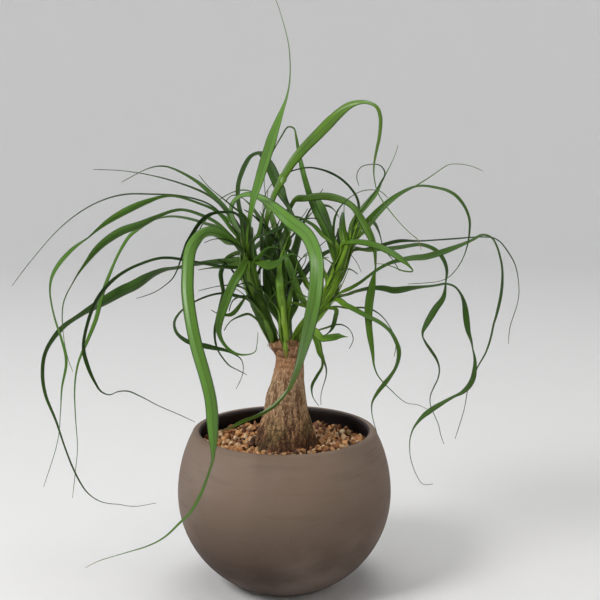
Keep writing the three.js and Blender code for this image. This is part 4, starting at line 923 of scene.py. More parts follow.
# %% Leaves of the middle head and of the front shoot
MIDDLE_LEAVES = [
  [10.5, 0.5, 0.9, [-26, 0, 45, 80, 95, 100, 95, 85, 75], [[-19, 365, 60], [-13, 398, 60],
    [-4, 418, 50], [6, 435, 40], [18, 450, 25], [33, 465, 10], [49, 481, 0], [61, 492, 20],
    [70, 497, 45], [80, 498.5, 60], [88, 496.5, 62], [95, 491, 55], [97, 480, 50], [96, 465, 50],
    [93, 450, 50], [90.5, 437, 62], [90, 425, 80], [93.5, 408, 78], [103, 393, 68], [116, 377, 62],
    [127, 366, 62], [134, 360, 50], [137, 350, 50]]],
  [8.5, 0.75, 0.85, [-30, -16, 10, 34, 38, 36, 34, 32], [[-9, 355, 60], [8, 397, 55], [16, 401, 45],
    [34, 404, 30], [49, 403, 25], [61, 399, 40], [69, 394, 50], [76, 384, 35], [83, 371, 15],
    [88.5, 360, 40], [91.5, 348, 70], [91.5, 336, 80], [90.5, 323, 110], [87.5, 309.5, 165],
    [85, 294, 170], [85, 279, 140], [86.5, 264, 135], [89, 248, 130], [90, 236, 105], [92.5, 227, 100],
    [99, 218, 100], [107, 210, 100], [116, 201.5, 100], [125, 196, 100], [133, 195.4, 100],
    [143, 191, 100]]],
  [9, 0.6, 0.15, [-14, -8, -6, -10, -20], [[-10, 278, 20], [-15, 300, 10], [-17, 322, 5],
    [-16, 344, 15], [-12, 360, 30], [-6, 376, 40], [-2, 388, 55]]],
  [8, 0.6, 0.2, [-18, -16, -22, -32], [[-9, 290, 20], [-11, 308, 15], [-14, 328, 20], [-20, 346, 30],
    [-23, 366, 50], [-20, 388, 60], [-19, 402, 65]]],
  [8, 0.65, 0.2, [-12, -6, -6, -12], [[-6, 285, 25], [-8, 305, 20], [-11, 322, 5], [-16, 340, 0],
    [-19, 352, 20], [-17, 366, 40], [-9, 378, 60]]],
  [7, 0.6, 0.2, [-14, -8, -4, 2], [[10, 275, 30], [12, 298, 20], [10, 316, 15], [12, 332, 25],
    [18, 342, 40], [26, 346, 60]]],
]
FRONT_LEAVES = [
  [8.5, 0.55, 0.3, [18, 20, 18, 10], [[0, 276, 0], [-2, 295, 0], [-4, 312, 5], [-4.5, 328, 5],
    [-3.5, 340, 10], [0, 352, 25], [4, 362, 40], [8, 370, 50]]],
  [5.5, 0.5, 0.25, [16, 14, 8], [[3.5, 275, 25], [5, 295, 20], [8, 312, 25], [11, 327, 40],
    [14, 340, 50]]],
]
print(len(MIDDLE_LEAVES), "drawn on the middle head and", len(FRONT_LEAVES), "on the front shoot")

# %% [markdown]
# ## From a drawn route to a curve in space
# A drawn point slides along the line of sight by its depth. The blade's width direction starts flat
# to the viewer and turns about the leaf's run, which gives the twists that a strap leaf makes as it
# hangs.

# %% Space out and place a route
LEAF_STEP = 10.0


def evenly_spaced(curve, spacing):
    run = np.concatenate([[0], np.cumsum(np.linalg.norm(np.diff(curve[:, :3], axis=0), axis=1))])
    spans = max(4, 2 * math.floor(run[-1] / spacing / 2 + 0.5))
    targets = run[-1] * np.arange(spans + 1) / spans
    return np.stack([np.interp(targets, run, column) for column in curve.T], axis=1), run[-1]


def seen(across, up, depth):
    drawn = DRAWING_CENTRE + DRAWING_UP * (up - DRAWING_MIDDLE[1])
    drawn = drawn + np.array([across - DRAWING_MIDDLE[0], 0, 0])
    return drawn + (EYE - drawn) * depth / VIEW_DISTANCE


def depth_at(depths, share):
    at = share * (len(depths) - 1)
    low = min(len(depths) - 2, math.floor(at))
    four = [depths[min(len(depths) - 1, max(0, low + k))] for k in (-1, 0, 1, 2)]
    return spline_at(*four, at - low)


def unit(vectors):
    return vectors / np.linalg.norm(vectors, axis=-1, keepdims=True)


def runs_of(points):
    """The direction of a leaf's run at each of its points."""
    ahead = np.vstack([points[1:], points[-1:]])
    behind = np.vstack([points[:1], points[:-1]])
    return unit(ahead - behind)


# %% A traced leaf
ROUTE_STEPS = 8


def traced_leaf(head, row):
    """One drawn leaf, as evenly spaced places with the blade's width direction at each."""
    width, narrowing, origin, depths, route = row
    route = np.array(route, float)
    drawn = np.concatenate([[0], np.cumsum(np.hypot(*np.diff(route[:, :2], axis=0).T))])
    knots = [[*seen(across, up, depth_at(depths, run / drawn[-1])), turn]
             for (across, up, turn), run in zip(route, drawn)]
    root = point_along(stem_curves[head], origin)
    curve = spline_through([[*root[:3], route[0][2]], *knots], ROUTE_STEPS)
    points, length = evenly_spaced(curve, LEAF_STEP)
    places = points[:, :3]
    flat = unit(np.cross(runs_of(places), unit(EYE - places)))
    facing = np.cross(flat, runs_of(places))
    turn = np.radians(points[:, 3:4])
    sides = flat * np.cos(turn) + facing * np.sin(turn)
    return {"head": head, "traced": True, "width": width, "narrowing": narrowing, "length": length,
            "points": places, "sides": sides}


print("the first drawn leaf is", round(traced_leaf("left", LEFT_LEAVES[0])["length"]), "mm long")

# %% [markdown]
# ## Leaves placed by rule
# The leaves behind and between the drawn ones follow a rule. Each rises from its stem in a direction
# that steps round by the golden ratio, arches over, and droops at its tip, with seeded chance in its
# measures.

# %% The rules of the heads
PLACED = [
    {"head": "left", "count": 6, "origin": (0.4, 0.95), "azimuth": (65, 118), "length": (130, 230),
     "rise": (48, 72), "droop": (-78, -40), "width": (6, 9)},
    {"head": "right", "count": 6, "origin": (0.4, 0.95), "azimuth": (65, 118), "length": (130, 230),
     "rise": (48, 72), "droop": (-78, -40), "width": (6, 9)},
    {"head": "middle", "count": 8, "origin": (0.3, 0.95), "azimuth": (55, 125), "length": (140, 230),
     "rise": (50, 74), "droop": (-70, -20), "width": (6, 9)},
    {"head": "left", "count": 7, "origin": (0.2, 0.95), "azimuth": (-150, 50), "length": (60, 105),
     "rise": (48, 84), "droop": (-30, 50), "width": (5, 8)},
    {"head": "right", "count": 7, "origin": (0.2, 0.95), "azimuth": (120, 330), "length": (60, 115),
     "rise": (48, 84), "droop": (-30, 50), "width": (5, 8)},
    {"head": "middle", "count": 12, "origin": (0.15, 0.95), "azimuth": (140, 400), "length": (60, 125),
     "rise": (56, 86), "droop": (-20, 60), "width": (5, 8)},
    {"head": "front", "count": 1, "origin": (0.3, 0.95), "azimuth": (215, 330), "length": (50, 80),
     "rise": (60, 82), "droop": (20, 70), "width": (4, 6)},
]
PLACED_SEED = 20417
PLACED_POINTS = 12
PLACED_STEPS = 4
PLACED_NARROWING = 0.45
GOLDEN_SHARE = 0.618
SPREAD_CHANCE = 0.08
ARCHING = 1.25
MOST_CURL = 35
MOST_TWIST = 110
CROWDED = [0, 5, 27, 29, 39, 45]
print(sum(rule["count"] for rule in PLACED), "leaves by rule, less", len(CROWDED), "where it is crowded")

# %% The chance numbers of the solids
CHANCE_FACTOR = 1664525
CHANCE_ADDED = 1013904223
CHANCE_WRAP = 2 ** 32


class Draws:
    """A steady stream of chance numbers, the same one that the solids were drawn from."""

    def __init__(self, seed):
        self.state = seed

    def __call__(self, low, high):
        self.state = (self.state * CHANCE_FACTOR + CHANCE_ADDED) % CHANCE_WRAP
        return low + (high - low) * self.state / CHANCE_WRAP


print("a first draw between 0 and 1:", round(Draws(1)(0, 1), 3))

# %% Grow a placed leaf
def placed_leaf(rule, draw, order):
    """One leaf grown by its head's rule, in the same form as a traced one."""
    lowest, highest = rule["origin"]
    origin = lowest + (highest - lowest) * (order + draw(0, 0.9)) / rule["count"]
    root = point_along(stem_curves[rule["head"]], origin)
    spread = math.fmod(order * GOLDEN_SHARE + draw(-SPREAD_CHANCE, SPREAD_CHANCE), 1)
    low, high = rule["azimuth"]
    start = math.radians(low + (high - low) * abs(spread))
    length = draw(*rule["length"])
    rise = math.radians(draw(*rule["rise"]))
    droop = math.radians(draw(*rule["droop"]))
    curl = math.radians(draw(-MOST_CURL, MOST_CURL))
    twist = math.radians(draw(-MOST_TWIST, MOST_TWIST))
    width = draw(*rule["width"])
    place = root[:3].copy()
    knots = [[*place, 0.0]]
    for k in range(1, PLACED_POINTS + 1):
        share = k / PLACED_POINTS
        pitch = rise + (droop - rise) * share ** ARCHING
        heading = start + curl * share * share
        level = math.cos(pitch)
        run = np.array([level * math.cos(heading), level * math.sin(heading), math.sin(pitch)])
        place += run * length / PLACED_POINTS
        knots.append([*place, share])
    points, _ = evenly_spaced(spline_through(knots, PLACED_STEPS), LEAF_STEP)
    places = points[:, :3]
    across = np.array([math.sin(start), -math.cos(start), 0.0])
    runs = runs_of(places)
    flat = unit(across - runs * (runs @ across)[:, None])
    turn = (twist * smooth_step(points[:, 3]))[:, None]
    sides = flat * np.cos(turn) + np.cross(flat, runs) * np.sin(turn)
    return {"head": rule["head"], "traced": False, "width": width, "narrowing": PLACED_NARROWING,
            "length": length, "points": places, "sides": sides}


# %% [markdown]
# ## Keep the leaves apart
# Leaves that would pass through each other are eased apart, a little in each round: a traced leaf
# along the line of sight, so that its drawing stays, and a placed one straight away from its
# neighbour.

# %% A blade's width along its length
TIP_WIDTH = 1.2
TAPER_POWER = 0.7
SHEATH_SHARE = 0.12


def widths_at(leaf, share):
    """The blade's width at shares of its length: a narrower foot, then a long taper to a thread."""
    narrowed = np.maximum(0, (share - leaf["narrowing"]) / (1 - leaf["narrowing"]))
    sheath = 0.75 + 0.25 * smooth_step(share / SHEATH_SHARE)
    return np.maximum(TIP_WIDTH, leaf["width"] * sheath * (1 - narrowed ** TAPER_POWER))


def steady_sides(leaf):
    """Keep the width directions from flipping over between two places, and even them out."""
    sides = leaf["sides"].copy()
    for k in range(1, len(sides)):
        if sides[k] @ sides[k - 1] < 0:
            sides[k] = -sides[k]
    ahead = np.vstack([sides[1:], sides[-1:]])
    behind = np.vstack([sides[:1], sides[:-1]])
    leaf["sides"] = unit(2 * sides + ahead + behind)


# %% Ease them apart
CLEAR_ROUNDS = 60
CLEAR_MARGIN = 2.0
CLEAR_MARGIN_HEADS = 6.0
CLEAR_WIDTH_SHARE = 0.45
HELD_LENGTH = 14.0
FREE_LENGTH = 60.0
PAIR_REACH = 90.0
EASING = (1, 2, 3, 2, 1)


def clear_leaves(leaves):
    """Ease the leaves' places apart, round by round."""
    points = np.concatenate([leaf["points"] for leaf in leaves])
    owner = np.concatenate([np.full(len(leaf["points"]), k) for k, leaf in enumerate(leaves)])
    share = np.concatenate([np.linspace(0, 1, len(leaf["points"])) for leaf in leaves])
    run = share * np.array([leaf["length"] for leaf in leaves])[owner]
    width = np.concatenate([widths_at(leaf, share[owner == k]) for k, leaf in enumerate(leaves)])
    head = np.array([list(STEMS).index(leaf["head"]) for leaf in leaves])[owner]
    traced = np.array([leaf["traced"] for leaf in leaves])[owner]
    freedom = smooth_step((run - HELD_LENGTH) / (FREE_LENGTH - HELD_LENGTH))
    pairs = []
    for k in range(len(leaves)):
        mine = np.flatnonzero(owner == k)
        gaps = np.linalg.norm(points[mine][:, None] - points[None], axis=2)
        at, other = np.nonzero((gaps < PAIR_REACH) & (owner != k)[None])
        pairs.append(np.stack([mine[at], other]))
    i, j = np.concatenate(pairs, axis=1)
    same = head[i] == head[j]
    kept = ~(same & (np.minimum(run[i], run[j]) < FREE_LENGTH))
    i, j, same = i[kept], j[kept], same[kept]
    need = (width[i] + width[j]) * CLEAR_WIDTH_SHARE + np.where(same, CLEAR_MARGIN, CLEAR_MARGIN_HEADS)
    starts = np.flatnonzero(np.diff(owner, prepend=-1))
    for _ in range(CLEAR_ROUNDS):
        offset = points[i] - points[j]
        gap = np.linalg.norm(offset, axis=1)
        close = gap <= need
        moves = largest_moves(points, i[close], offset[close], gap[close], need[close], traced)
        for start, end in zip(starts, [*starts[1:], len(points)]):
            padded = np.pad(moves[start:end], ((2, 2), (0, 0)), mode="edge")
            eased = sum(weight * padded[k:k + end - start] for k, weight in enumerate(EASING))
            points[start:end] += eased / sum(EASING) * freedom[start:end, None]
    for k, leaf in enumerate(leaves):
        leaf["points"] = points[owner == k]
    print(len(i), "pairs of points kept apart")


def largest_moves(points, at, offset, gap, need, traced):
    """The largest move that any close neighbour asks of each point."""
    sight = unit(EYE - points[at])
    apart = np.sum(offset * sight, axis=1)
    short = np.sqrt(np.maximum(0, need ** 2 - (gap ** 2 - apart ** 2))) - np.abs(apart)
    along = sight * (np.where(apart < 0, -1, 1) * short / 2)[:, None]
    away = offset * ((need - gap) / np.maximum(gap, 1e-6) / 2)[:, None]
    asked = np.where(traced[at][:, None], along, away)
    order = np.argsort(np.linalg.norm(asked, axis=1), kind="stable")
    moves = np.zeros_like(points)
    moves[at[order]] = asked[order]
    return moves


# %% Grow all the leaves
DRAWN_LEAVES = {
    "left": LEFT_LEAVES, "right": RIGHT_LEAVES, "middle": MIDDLE_LEAVES, "front": FRONT_LEAVES,
}
draw = Draws(PLACED_SEED)
leaves = [traced_leaf(head, row) for head, rows in DRAWN_LEAVES.items() for row in rows]
placed = [placed_leaf(rule, draw, order) for rule in PLACED for order in range(rule["count"])]
leaves += [leaf for k, leaf in enumerate(placed) if k not in CROWDED]
for leaf in leaves:
    steady_sides(leaf)
clear_leaves(leaves)
print(len(leaves), "leaves,", round(sum(leaf["length"] for leaf in leaves) * MM, 1), "m in all")

# %% [markdown]
# ## Stems
# The core of each head is a short stem. Little of it shows, because every leaf's foot is a sheath
# that clasps it. It is swept as one skin, half as thick as the sheathed bundle. Its section steps in
# at the edge of each older sheath, and the steps wind slowly up the stem. The streaks of its colour
# follow them, and where each sheath steps in under the next its colour is darkened as painted shade.

# %% Build a stem
STEM_SIDES = 48
STEM_STEP = 2.0
FINE_STEPS = 10
CORE_SHARE = 0.5
SHEATH_FOLDS = 5
SHEATH_STEP_IN = 0.13
SHEATH_WINDING = 0.006


def fine_stem(head):
    """A stem's evenly spaced points, radii, directions and the length run at each."""
    curve, length = evenly_spaced(spline_through(STEMS[head], FINE_STEPS), STEM_STEP)
    runs = runs_of(curve[:, :3])
    run = np.linspace(0, length, len(curve))
    return {"points": curve[:, :3], "radii": curve[:, 3], "runs": runs, "run": run}


def stem_mesh(stem):
    """A stem's points and faces, and for each point its place in the bundle of sheaths."""
    runs = stem["runs"].copy()
    runs[0] = (0, 0, 1)
    across = unit(np.array([1.0, 0, 0]) - runs * runs[:, :1])
    back = np.cross(runs, across)
    angle = 2 * math.pi * np.arange(STEM_SIDES) / STEM_SIDES
    turns = angle / (2 * math.pi) + SHEATH_WINDING * stem["run"][:, None]
    fold = np.mod(SHEATH_FOLDS * turns, 1)
    radius = stem["radii"][:, None] * CORE_SHARE * (1 - SHEATH_STEP_IN * fold ** 2)
    rings = stem["points"][:, None] + across[:, None] * (radius * np.cos(angle))[:, :, None]
    rings = rings + back[:, None] * (radius * np.sin(angle))[:, :, None]
    run = np.repeat(stem["run"], STEM_SIDES) / 100
    bundle = np.stack([fold.ravel(), np.tile(angle, len(rings)), run], axis=1)
    return rings.reshape(-1, 3), ring_faces(len(rings), STEM_SIDES), bundle


stems = {head: fine_stem(head) for head in STEMS}
print("stem lengths:", {head: round(stem["run"][-1]) for head, stem in stems.items()}, "mm")

# %% [markdown]
# ## Sheaths and blades
# A palm-like leaf has no stalk: its foot clasps the stem as a broad pale sheath, which opens into a
# long shallow channel that narrows to a dry thread. So each leaf is one skin. It starts flat on the
# stem, well below the point where it leaves, curls round it, then turns out along its route. A higher
# leaf starts under a lower one, as the younger leaves do.

# %% How a leaf leaves its stem
SHEATH_BELOW = 32.0
SHEATH_STEP = 2.5
SHEATH_OPENS = 36.0
SHEATH_LIFT = (0.1, 2.4)
CLASP_SHARE = 0.72
CLASP_SPREAD = 1.7
LEAVING_RUN = 26.0
REFINE = 4


def stem_at(stem, run):
    """Places on the stem's axis, its directions and radii; past its tip the axis goes straight on."""
    over = np.maximum(0, run - stem["run"][-1])[:, None]
    places = np.stack([np.interp(run, stem["run"], column) for column in stem["points"].T], axis=1)
    runs = unit(np.stack([np.interp(run, stem["run"], column) for column in stem["runs"].T], axis=1))
    return places + runs * over, runs, np.interp(run, stem["run"], stem["radii"])


def fine_leaf(leaf):
    """The leaf's fine centreline from its foot to its tip, with width directions, runs and shares."""
    stem = stems[leaf["head"]]
    points = spline_through(leaf["points"], REFINE)
    sides = unit(spline_through(leaf["sides"], REFINE))
    run = np.concatenate([[0], np.cumsum(np.linalg.norm(np.diff(points, axis=0), axis=1))])
    leaves_at = stem["run"][np.argmin(np.linalg.norm(stem["points"] - points[0], axis=1))]
    start = -min(SHEATH_BELOW, leaves_at - 1)
    below = np.arange(start, -0.5, SHEATH_STEP)
    all_run = np.concatenate([below, run])
    axis, runs, radii = stem_at(stem, leaves_at + all_run)
    halfway = stem_at(stem, np.array([leaves_at + LEAVING_RUN / 2]))[0][0]
    away = points[np.searchsorted(run, LEAVING_RUN)] - halfway
    outward = unit(away - runs * (runs @ away)[:, None])
    lift = np.interp(all_run, (-SHEATH_BELOW, 0), SHEATH_LIFT)
    hugging = axis + outward * (radii * CLASP_SHARE + lift)[:, None]
    clasp = np.cross(outward, runs)
    opened = smooth_step((all_run - 4) / SHEATH_OPENS)[:, None]
    points = np.concatenate([hugging[:len(below)], points])
    sides = np.concatenate([clasp[:len(below)], sides])
    opened_at = min(len(sides) - 1, np.searchsorted(all_run, SHEATH_OPENS))
    if sides[opened_at] @ clasp[len(below)] < 0:
        sides[len(below):] *= -1
    points = hugging * (1 - opened) + points * opened
    sides = unit(clasp * (1 - opened) + sides * opened)
    share = np.maximum(0, all_run / run[-1])
    return points, sides, all_run, share, radii * CLASP_SHARE + lift


print("the first leaf has", len(fine_leaf(leaves[0])[0]), "rings")

# %% [markdown]
# Below its leaves each stem is clothed in the short, pointed sheaths of older ones, whose blades are
# long gone. They are small leaves like the others that never turn away, so they use the same rule of
# growth.

# %% Old sheaths
OLD_SHEATHS = {"left": 18, "right": 18, "middle": 14, "front": 3}
OLD_SHEATH_LENGTH = (28.0, 62.0)
OLD_SHEATH_WIDTH = (3.6, 6.6)
OLD_SHEATH_REACH = 0.75
OLD_SHEATH_FLARE = (1.0, 10.0)
OLD_SHEATH_NARROWING = 0.2
OLD_SHEATH_GAP = 0.8
OLD_SHEATH_POINTS = 9
OLD_SHEATH_FOOT = 2.0
GOLDEN_ANGLE = math.pi * (3 - math.sqrt(5))
chance = np.random.default_rng(12)


def old_sheath(head, k):
    """One short leaf that hugs its stem, in the same form as the others."""
    stem = stems[head]
    start = OLD_SHEATH_REACH * stem["run"][-1] * (k + chance.uniform()) / OLD_SHEATHS[head]
    rise = np.linspace(0, 1, OLD_SHEATH_POINTS)
    length = rise * chance.uniform(*OLD_SHEATH_LENGTH)
    axis, runs, radii = stem_at(stem, start + OLD_SHEATH_FOOT + length)
    angle = GOLDEN_ANGLE * k
    direction = np.array([math.cos(angle), math.sin(angle), 0])
    outward = unit(direction - runs * (runs @ direction)[:, None])
    out = radii * CLASP_SHARE + OLD_SHEATH_GAP + chance.uniform(*OLD_SHEATH_FLARE) * rise ** 2
    width = chance.uniform(*OLD_SHEATH_WIDTH)
    return {"head": head, "width": width, "narrowing": OLD_SHEATH_NARROWING,
            "points": axis + outward * out[:, None], "sides": np.cross(outward, runs)}


old_sheaths = [old_sheath(head, k) for head, count in OLD_SHEATHS.items() for k in range(count)]
print(len(old_sheaths), "old sheaths")

# %% Sweep a leaf
BLADE_FOLD = 0.16
BLADE_THICKNESS = 0.95
TIP_THICKNESS = 0.5
TIP_SHARE = 0.97
SHEATH_WIDTH = 3.4
SHEATH_WIDENING = 0.2
SHEATH_STARTS = 10.0
PALE_RUN = (-8.0, 62.0)
UPPER = np.array([-1, -0.7, -0.35, 0, 0.35, 0.7, 1])
LOWER = np.array([0.7, 0.35, 0, -0.35, -0.7])
ACROSS = np.concatenate([UPPER, LOWER])
OVER = np.concatenate([np.ones(len(UPPER)), -np.ones(len(LOWER))])


def leaf_mesh(leaf, tone):
    """A leaf's points and faces, with each point's place on the blade and how near it is to the foot."""
    points, sides, run, share, clasped = fine_leaf(leaf)
    runs = runs_of(points)
    sides = unit(sides - runs * np.sum(sides * runs, axis=1)[:, None])
    inward = np.cross(sides, runs)
    width = widths_at(leaf, share) * np.interp(share, (TIP_SHARE, 1), (1, 0.3))
    closed = 1 - smooth_step(run / SHEATH_OPENS)
    starts = smooth_step((run - run[0]) / SHEATH_STARTS)
    sheath_width = (SHEATH_WIDTH + SHEATH_WIDENING * leaf["width"]) * (0.35 + 0.65 * starts)
    width = width + (sheath_width - width) * closed
    thickness = (BLADE_THICKNESS + (TIP_THICKNESS - BLADE_THICKNESS) * share) * (0.3 + 0.7 * starts)
    curl = clasped[:, None] * CLASP_SPREAD
    curled_across = curl * np.sin(width[:, None] / 2 / curl * ACROSS)
    curled_inward = curl * (1 - np.cos(width[:, None] / 2 / curl * ACROSS))
    flat_across = width[:, None] / 2 * ACROSS
    flat_inward = BLADE_FOLD * width[:, None] * (np.abs(ACROSS) ** 1.4 - 0.5)
    closed = closed[:, None]
    body = thickness[:, None] / 2 * np.sqrt(1 - ACROSS ** 2) * OVER
    aside = curled_across * closed + flat_across * (1 - closed)
    in_by = curled_inward * closed + flat_inward * (1 - closed) + body
    rings = points[:, None] + sides[:, None] * aside[:, :, None] + inward[:, None] * in_by[:, :, None]
    count = len(ACROSS)
    tones = np.full(len(points) * count, tone)
    place = np.stack([np.tile(ACROSS, len(points)), np.repeat(share, count), tones], axis=1)
    foot = np.repeat(1 - rising(run, *PALE_RUN), count)
    return rings.reshape(-1, 3), ring_faces(len(points), count), place, foot


print("the first leaf has", len(leaf_mesh(leaves[0], 0.5)[1]), "faces")

# %% [markdown]
# ## The leaves' finish
# The blades are a deep green, brighter and glossier on some and darker on others, with fine veins
# that run their whole length. The drawn leaves' darker tones are partly their own and partly painted
# shade on leaves seen in shade, and every blade's edges are darkened as painted shade. They are
# yellow-green where they leave the stem and straw-brown at the tip.


# %% The green of the leaves
GLOSS = 0.5
BLADE_EDGE_SHADE = (0.014, 0.028, 0.008)
SHEATH_EDGE = (0.3, 0.38, 0.09)
DRY_TIP = (0.26, 0.17, 0.07)


def leaf_skin(name, look):
    skin = Material(name, Specular_IOR_Level=0.2, Coat_Roughness=0.32)
    across = skin.part("blade", 0)
    along = skin.part("blade", 1)
    tone = skin.part("blade", 2)
    foot = skin.number("foot")
    cloud = skin.noise(14, 3)
    veins = skin.strands(across * 9, along * 1.6 + tone * 31, 1.6)
    skin.feed(skin.shader.inputs["Coat Weight"], tone.between(0.5, 0.8) * GLOSS)
    light = tone * 0.9 + cloud.between(0.3, 0.7) * 0.1 + veins.between(0.4, 0.75) * 0.12 - 0.09
    color = skin.mix(light, look["deep"], look["fresh"])
    middle = 1 - across.math("ABSOLUTE").between(0.04, 0.2)
    color = skin.mix(middle * 0.3, color, look["deep"])
    pale = foot * veins.between(0.3, 0.62) * (look["pale"] + 0.7 * tone.between(0.0, 0.5))
    color = skin.mix(pale, color, look["sheath"])
    # Painted shade: the blade's edges are darkened, so that leaves seen edge-on look dark.
    edge = across.math("ABSOLUTE").between(0.78, 1.0)
    color = skin.mix(edge * 0.7, color, BLADE_EDGE_SHADE)
    dry = along.between(0.93, 1.0) * tone.between(0.35, 0.75)
    color = skin.mix(dry, color, DRY_TIP)
    ribs = (across * 26).math("SINE") * 0.5 + veins
    return skin.finish(color, 0.38 + 0.16 * cloud, ribs, 0.25, 0.0003)


# %% The stems' finish
def stem_skin(name, look):
    skin = Material(name, Specular_IOR_Level=0.4)
    fold = skin.part("bundle", 0)
    angle = skin.part("bundle", 1)
    run = skin.part("bundle", 2)
    fibres = skin.strands((angle + run * 1.9) * 5, run * 2, 3.0)
    color = skin.mix(fibres.between(0.35, 0.62), look["deep"], look["sheath"])
    # Painted shade where the section steps in under the next sheath's edge.
    color = skin.mix(fold.between(0.5, 1.0) * 0.8, color, look["deep"])
    color = skin.mix((1 - fold.between(0.0, 0.16)) * 0.5, color, SHEATH_EDGE)
    return skin.finish(color, 0.45 + 0.15 * fibres, fibres, 0.4, 0.0005)


# %% The heads' looks
# The sheaths' yellow-green and its paleness differ from head to head as painted light and shade:
# brightest on the right head, darker on the left one and darkest on the middle one.
HEADS = {
    "left": {"node": "head_left", "slot": "leaf_left",
             "deep": (0.009, 0.031, 0.002), "fresh": (0.125, 0.29, 0.03),
             "sheath": (0.12, 0.215, 0.014), "pale": 0.32},
    "right": {"node": "head_right", "slot": "leaf_right",
              "deep": (0.01, 0.034, 0.003), "fresh": (0.125, 0.285, 0.028),
              "sheath": (0.25, 0.45, 0.028), "pale": 0.65},
    "middle": {"node": "head_middle", "slot": "leaf_middle",
               "deep": (0.008, 0.028, 0.003), "fresh": (0.115, 0.25, 0.012),
               "sheath": (0.07, 0.15, 0.012), "pale": 0.15},
    "front": {"node": "shoot_front", "slot": "leaf_young",
              "deep": (0.04, 0.11, 0.01), "fresh": (0.2, 0.36, 0.04),
              "sheath": (0.22, 0.36, 0.026), "pale": 0.6},
}
print("heads:", ", ".join(HEADS))

# %% How light each leaf is, partly as painted shade
# A drawn leaf's tone is partly its own and partly painted shade: it is set lower on leaves seen in shade.
TRACED_TONES_AND_SHADE = {
    "left": [0.2, 0.5, 0.4, 0.55, 0.2, 0.1, 0.1, 0.78, 0.2, 0.4, 0.3, 0.15, 0.85, 0.78, 0.65, 0.1, 0.15,
             0.2, 0.3, 0.2, 0.1, 0.1, 0.6, 0.5, 0.35],
    "right": [0.1, 0.3, 0.3, 0.25, 0.35, 0.5, 0.6, 0.2, 0.15, 0.5, 0.2, 0.55, 0.4, 0.1, 0.2, 0.3, 0.1,
              0.45, 0.1, 0.7, 0.4, 0.2],
    "middle": [0.9, 0.55, 0.35, 0.2, 0.25, 0.3],
    "front": [0.5, 0.35],
}
PLACED_TONES = (0.0, 0.5)
OLD_TONES = (0.0, 0.8)

tones = [tone for head in TRACED_TONES_AND_SHADE.values() for tone in head]
tones += list(np.random.default_rng(7).uniform(*PLACED_TONES, len(leaves) - len(tones)))
tones += list(chance.uniform(*OLD_TONES, len(old_sheaths)))
print("mean tone", round(sum(tones) / len(tones), 2))


# %% Build the heads
def counted_from(start, faces):
    """The faces, for points that come after others in the same mesh."""
    return [[corner + start for corner in face] for face in faces]


def add_leaves(head, look):
    """All the blades of one head as one piece."""
    points, faces, places, feet = [], [], [], []
    for leaf, tone in zip(leaves + old_sheaths, tones):
        if leaf["head"] == head:
            leaf_points, leaf_faces, place, foot = leaf_mesh(leaf, tone)
            faces += counted_from(sum(len(part) for part in points), leaf_faces)
            points.append(leaf_points)
            places.append(place)
            feet.append(foot)
    blades = add_mesh("leaves_" + head, np.concatenate(points) * MM, faces)
    store(blades, "blade", np.concatenate(places))
    store(blades, "foot", np.concatenate(feet))
    dress(blades, leaf_skin("leaf_" + head, look), look["slot"], look["node"])


def add_stem(head, look):
    points, faces, bundle = stem_mesh(stems[head])
    core = add_mesh("stem_" + head, points * MM, faces)
    store(core, "bundle", bundle)
    dress(core, stem_skin("stem_" + head, look), look["slot"], look["node"])


for head, look in HEADS.items():
    add_leaves(head, look)
    add_stem(head, look)

# %% [markdown]
# ## Papery scales
# The dry feet of fallen leaves stay as thin brown scales round the top of the trunk. Each one is a
# pointed strip that lies on the trunk and leans out at its tip, and it gets paler towards the tip.
# They are all one mesh, because a maker would count them as part of the bark.

# %% Scales round the trunk's top
SCALES = 34
SCALE_FOOT = (240.0, 251.0)
SCALE_LENGTH = (6.0, 11.5)
SCALE_WIDTH = (4.0, 7.5)
SCALE_LEAN = (0.8, 3.4)
SCALE_THICKNESS = 0.5
SCALE_GAP = 0.1
SCALE_TIP = 0.15
SCALE_TAPER = 1.7
SCALE_ROWS = 7
SCALE_ACROSS = (-1, -0.5, 0, 0.5, 1, 0.5, 0, -0.5)
SCALE_OVER = (0, 1, 1, 1, 0, -1, -1, -1)
SCALE_LIMITS = (SCALE_FOOT, SCALE_LENGTH, SCALE_WIDTH, SCALE_LEAN)
scale_points, scale_faces, scale_rises = [], [], []
for k in range(SCALES):
    start = len(scale_points)
    foot, length, width, lean = (chance.uniform(*limits) for limits in SCALE_LIMITS)
    for rise in np.linspace(0, 1, SCALE_ROWS):
        z = foot + rise * length
        radius = np.interp(z, trunk_levels[:, 0], trunk_levels[:, 1]) + SCALE_GAP + lean * rise ** 2
        middle_x = np.interp(z, trunk_levels[:, 0], trunk_levels[:, 2])
        half = SCALE_TIP + width / 2 * (1 - rise ** SCALE_TAPER)
        for across, over in zip(SCALE_ACROSS, SCALE_OVER):
            angle = GOLDEN_ANGLE * k + across * half / radius
            out = radius + over * SCALE_THICKNESS / 2
            x = middle_x + out * math.cos(angle)
            scale_points.append((x * MM, out * math.sin(angle) * MM, z * MM))
            scale_rises.append(rise)
    scale_faces += counted_from(start, ring_faces(SCALE_ROWS, len(SCALE_OVER)))
scales = add_mesh("papery_scales", scale_points, scale_faces)
store(scales, "rise", scale_rises)

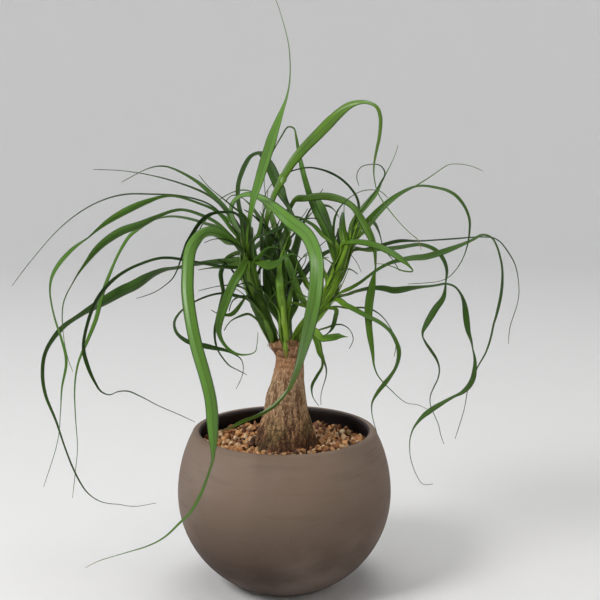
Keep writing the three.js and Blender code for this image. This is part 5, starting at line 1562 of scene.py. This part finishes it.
# %% The scales' finish
papery = Material("papery_scale", Specular_IOR_Level=0.25)
fibres = papery.noise(420, 3, (1, 1, 0.15))
towards_tip = papery.number("rise").between(0.0, 0.8)
scale_color = papery.mix(towards_tip, (0.15, 0.066, 0.03), (0.5, 0.3, 0.17))
scale_color = papery.mix(fibres.between(0.42, 0.6) * 0.6, scale_color, (0.2, 0.09, 0.042))
dress(scales, papery.finish(scale_color, 0.8, fibres, 0.4, 0.0004), "bark", "trunk")
print(SCALES, "scales round the top of the trunk")

# %% [markdown]
# ## The young shoot's foot
# The front shoot breaks out of the bark a little below the trunk's top, so its lowest sheath runs
# down to a point on the trunk's face. It is a curved strip, swept along a short route drawn on the
# bark.

# %% The strip on the trunk's face
FOOT_ROUTE = [(2.3, -14.3, 239.5), (2.2, -16.4, 246), (1.9, -18.5, 251), (1.4, -20, 256.5),
              (0.8, -20.8, 264), (0.1, -21.6, 273)]
FOOT_STEPS = 6
FOOT_WIDTH = 6.4
FOOT_BULGE = 1.6
FOOT_THICKNESS = 0.9
strip_route = spline_through(FOOT_ROUTE, FOOT_STEPS)
strip_points, strip_rises = [], []
for row, (x, y, z) in enumerate(strip_route):
    rise = row / (len(strip_route) - 1)
    half = FOOT_WIDTH / 2 * math.sin(math.pi * min(0.5 + 0.5 * rise, 0.06 + 1.2 * rise))
    for across, over in zip(SCALE_ACROSS, SCALE_OVER):
        out = FOOT_BULGE * half / FOOT_WIDTH * (1 - 2 * across ** 2) + over * FOOT_THICKNESS / 2
        strip_points.append(((x + across * half) * MM, (y - out) * MM, z * MM))
        strip_rises.append(rise)
shoot_foot = add_mesh("shoot_foot", strip_points, ring_faces(len(strip_route), len(SCALE_OVER)))
store(shoot_foot, "rise", strip_rises)
print(len(strip_route), "rings in the foot of the shoot")

# %% The young sheath's finish
young = Material("young_sheath", Specular_IOR_Level=0.3)
strands = young.noise(500, 3, (1, 1, 0.08))
from_point = young.number("rise").between(0.0, 0.6)
foot_color = young.mix(from_point, (0.26, 0.19, 0.05), (0.2, 0.36, 0.03))
foot_color = young.mix(strands.between(0.4, 0.6) * 0.5, foot_color, (0.1, 0.17, 0.016))
dress(shoot_foot, young.finish(foot_color, 0.5, strands, 0.3, 0.0004), "leaf_young", "shoot_front")

# %% [markdown]
# ## Measure and finish
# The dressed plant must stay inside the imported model's box, so both boxes are written down side by
# side.

# %% Write both boxes
boxes = {"cad": cad_box, "visual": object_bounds()}
{name: [list(corner) for corner in box] for name, box in boxes.items()}
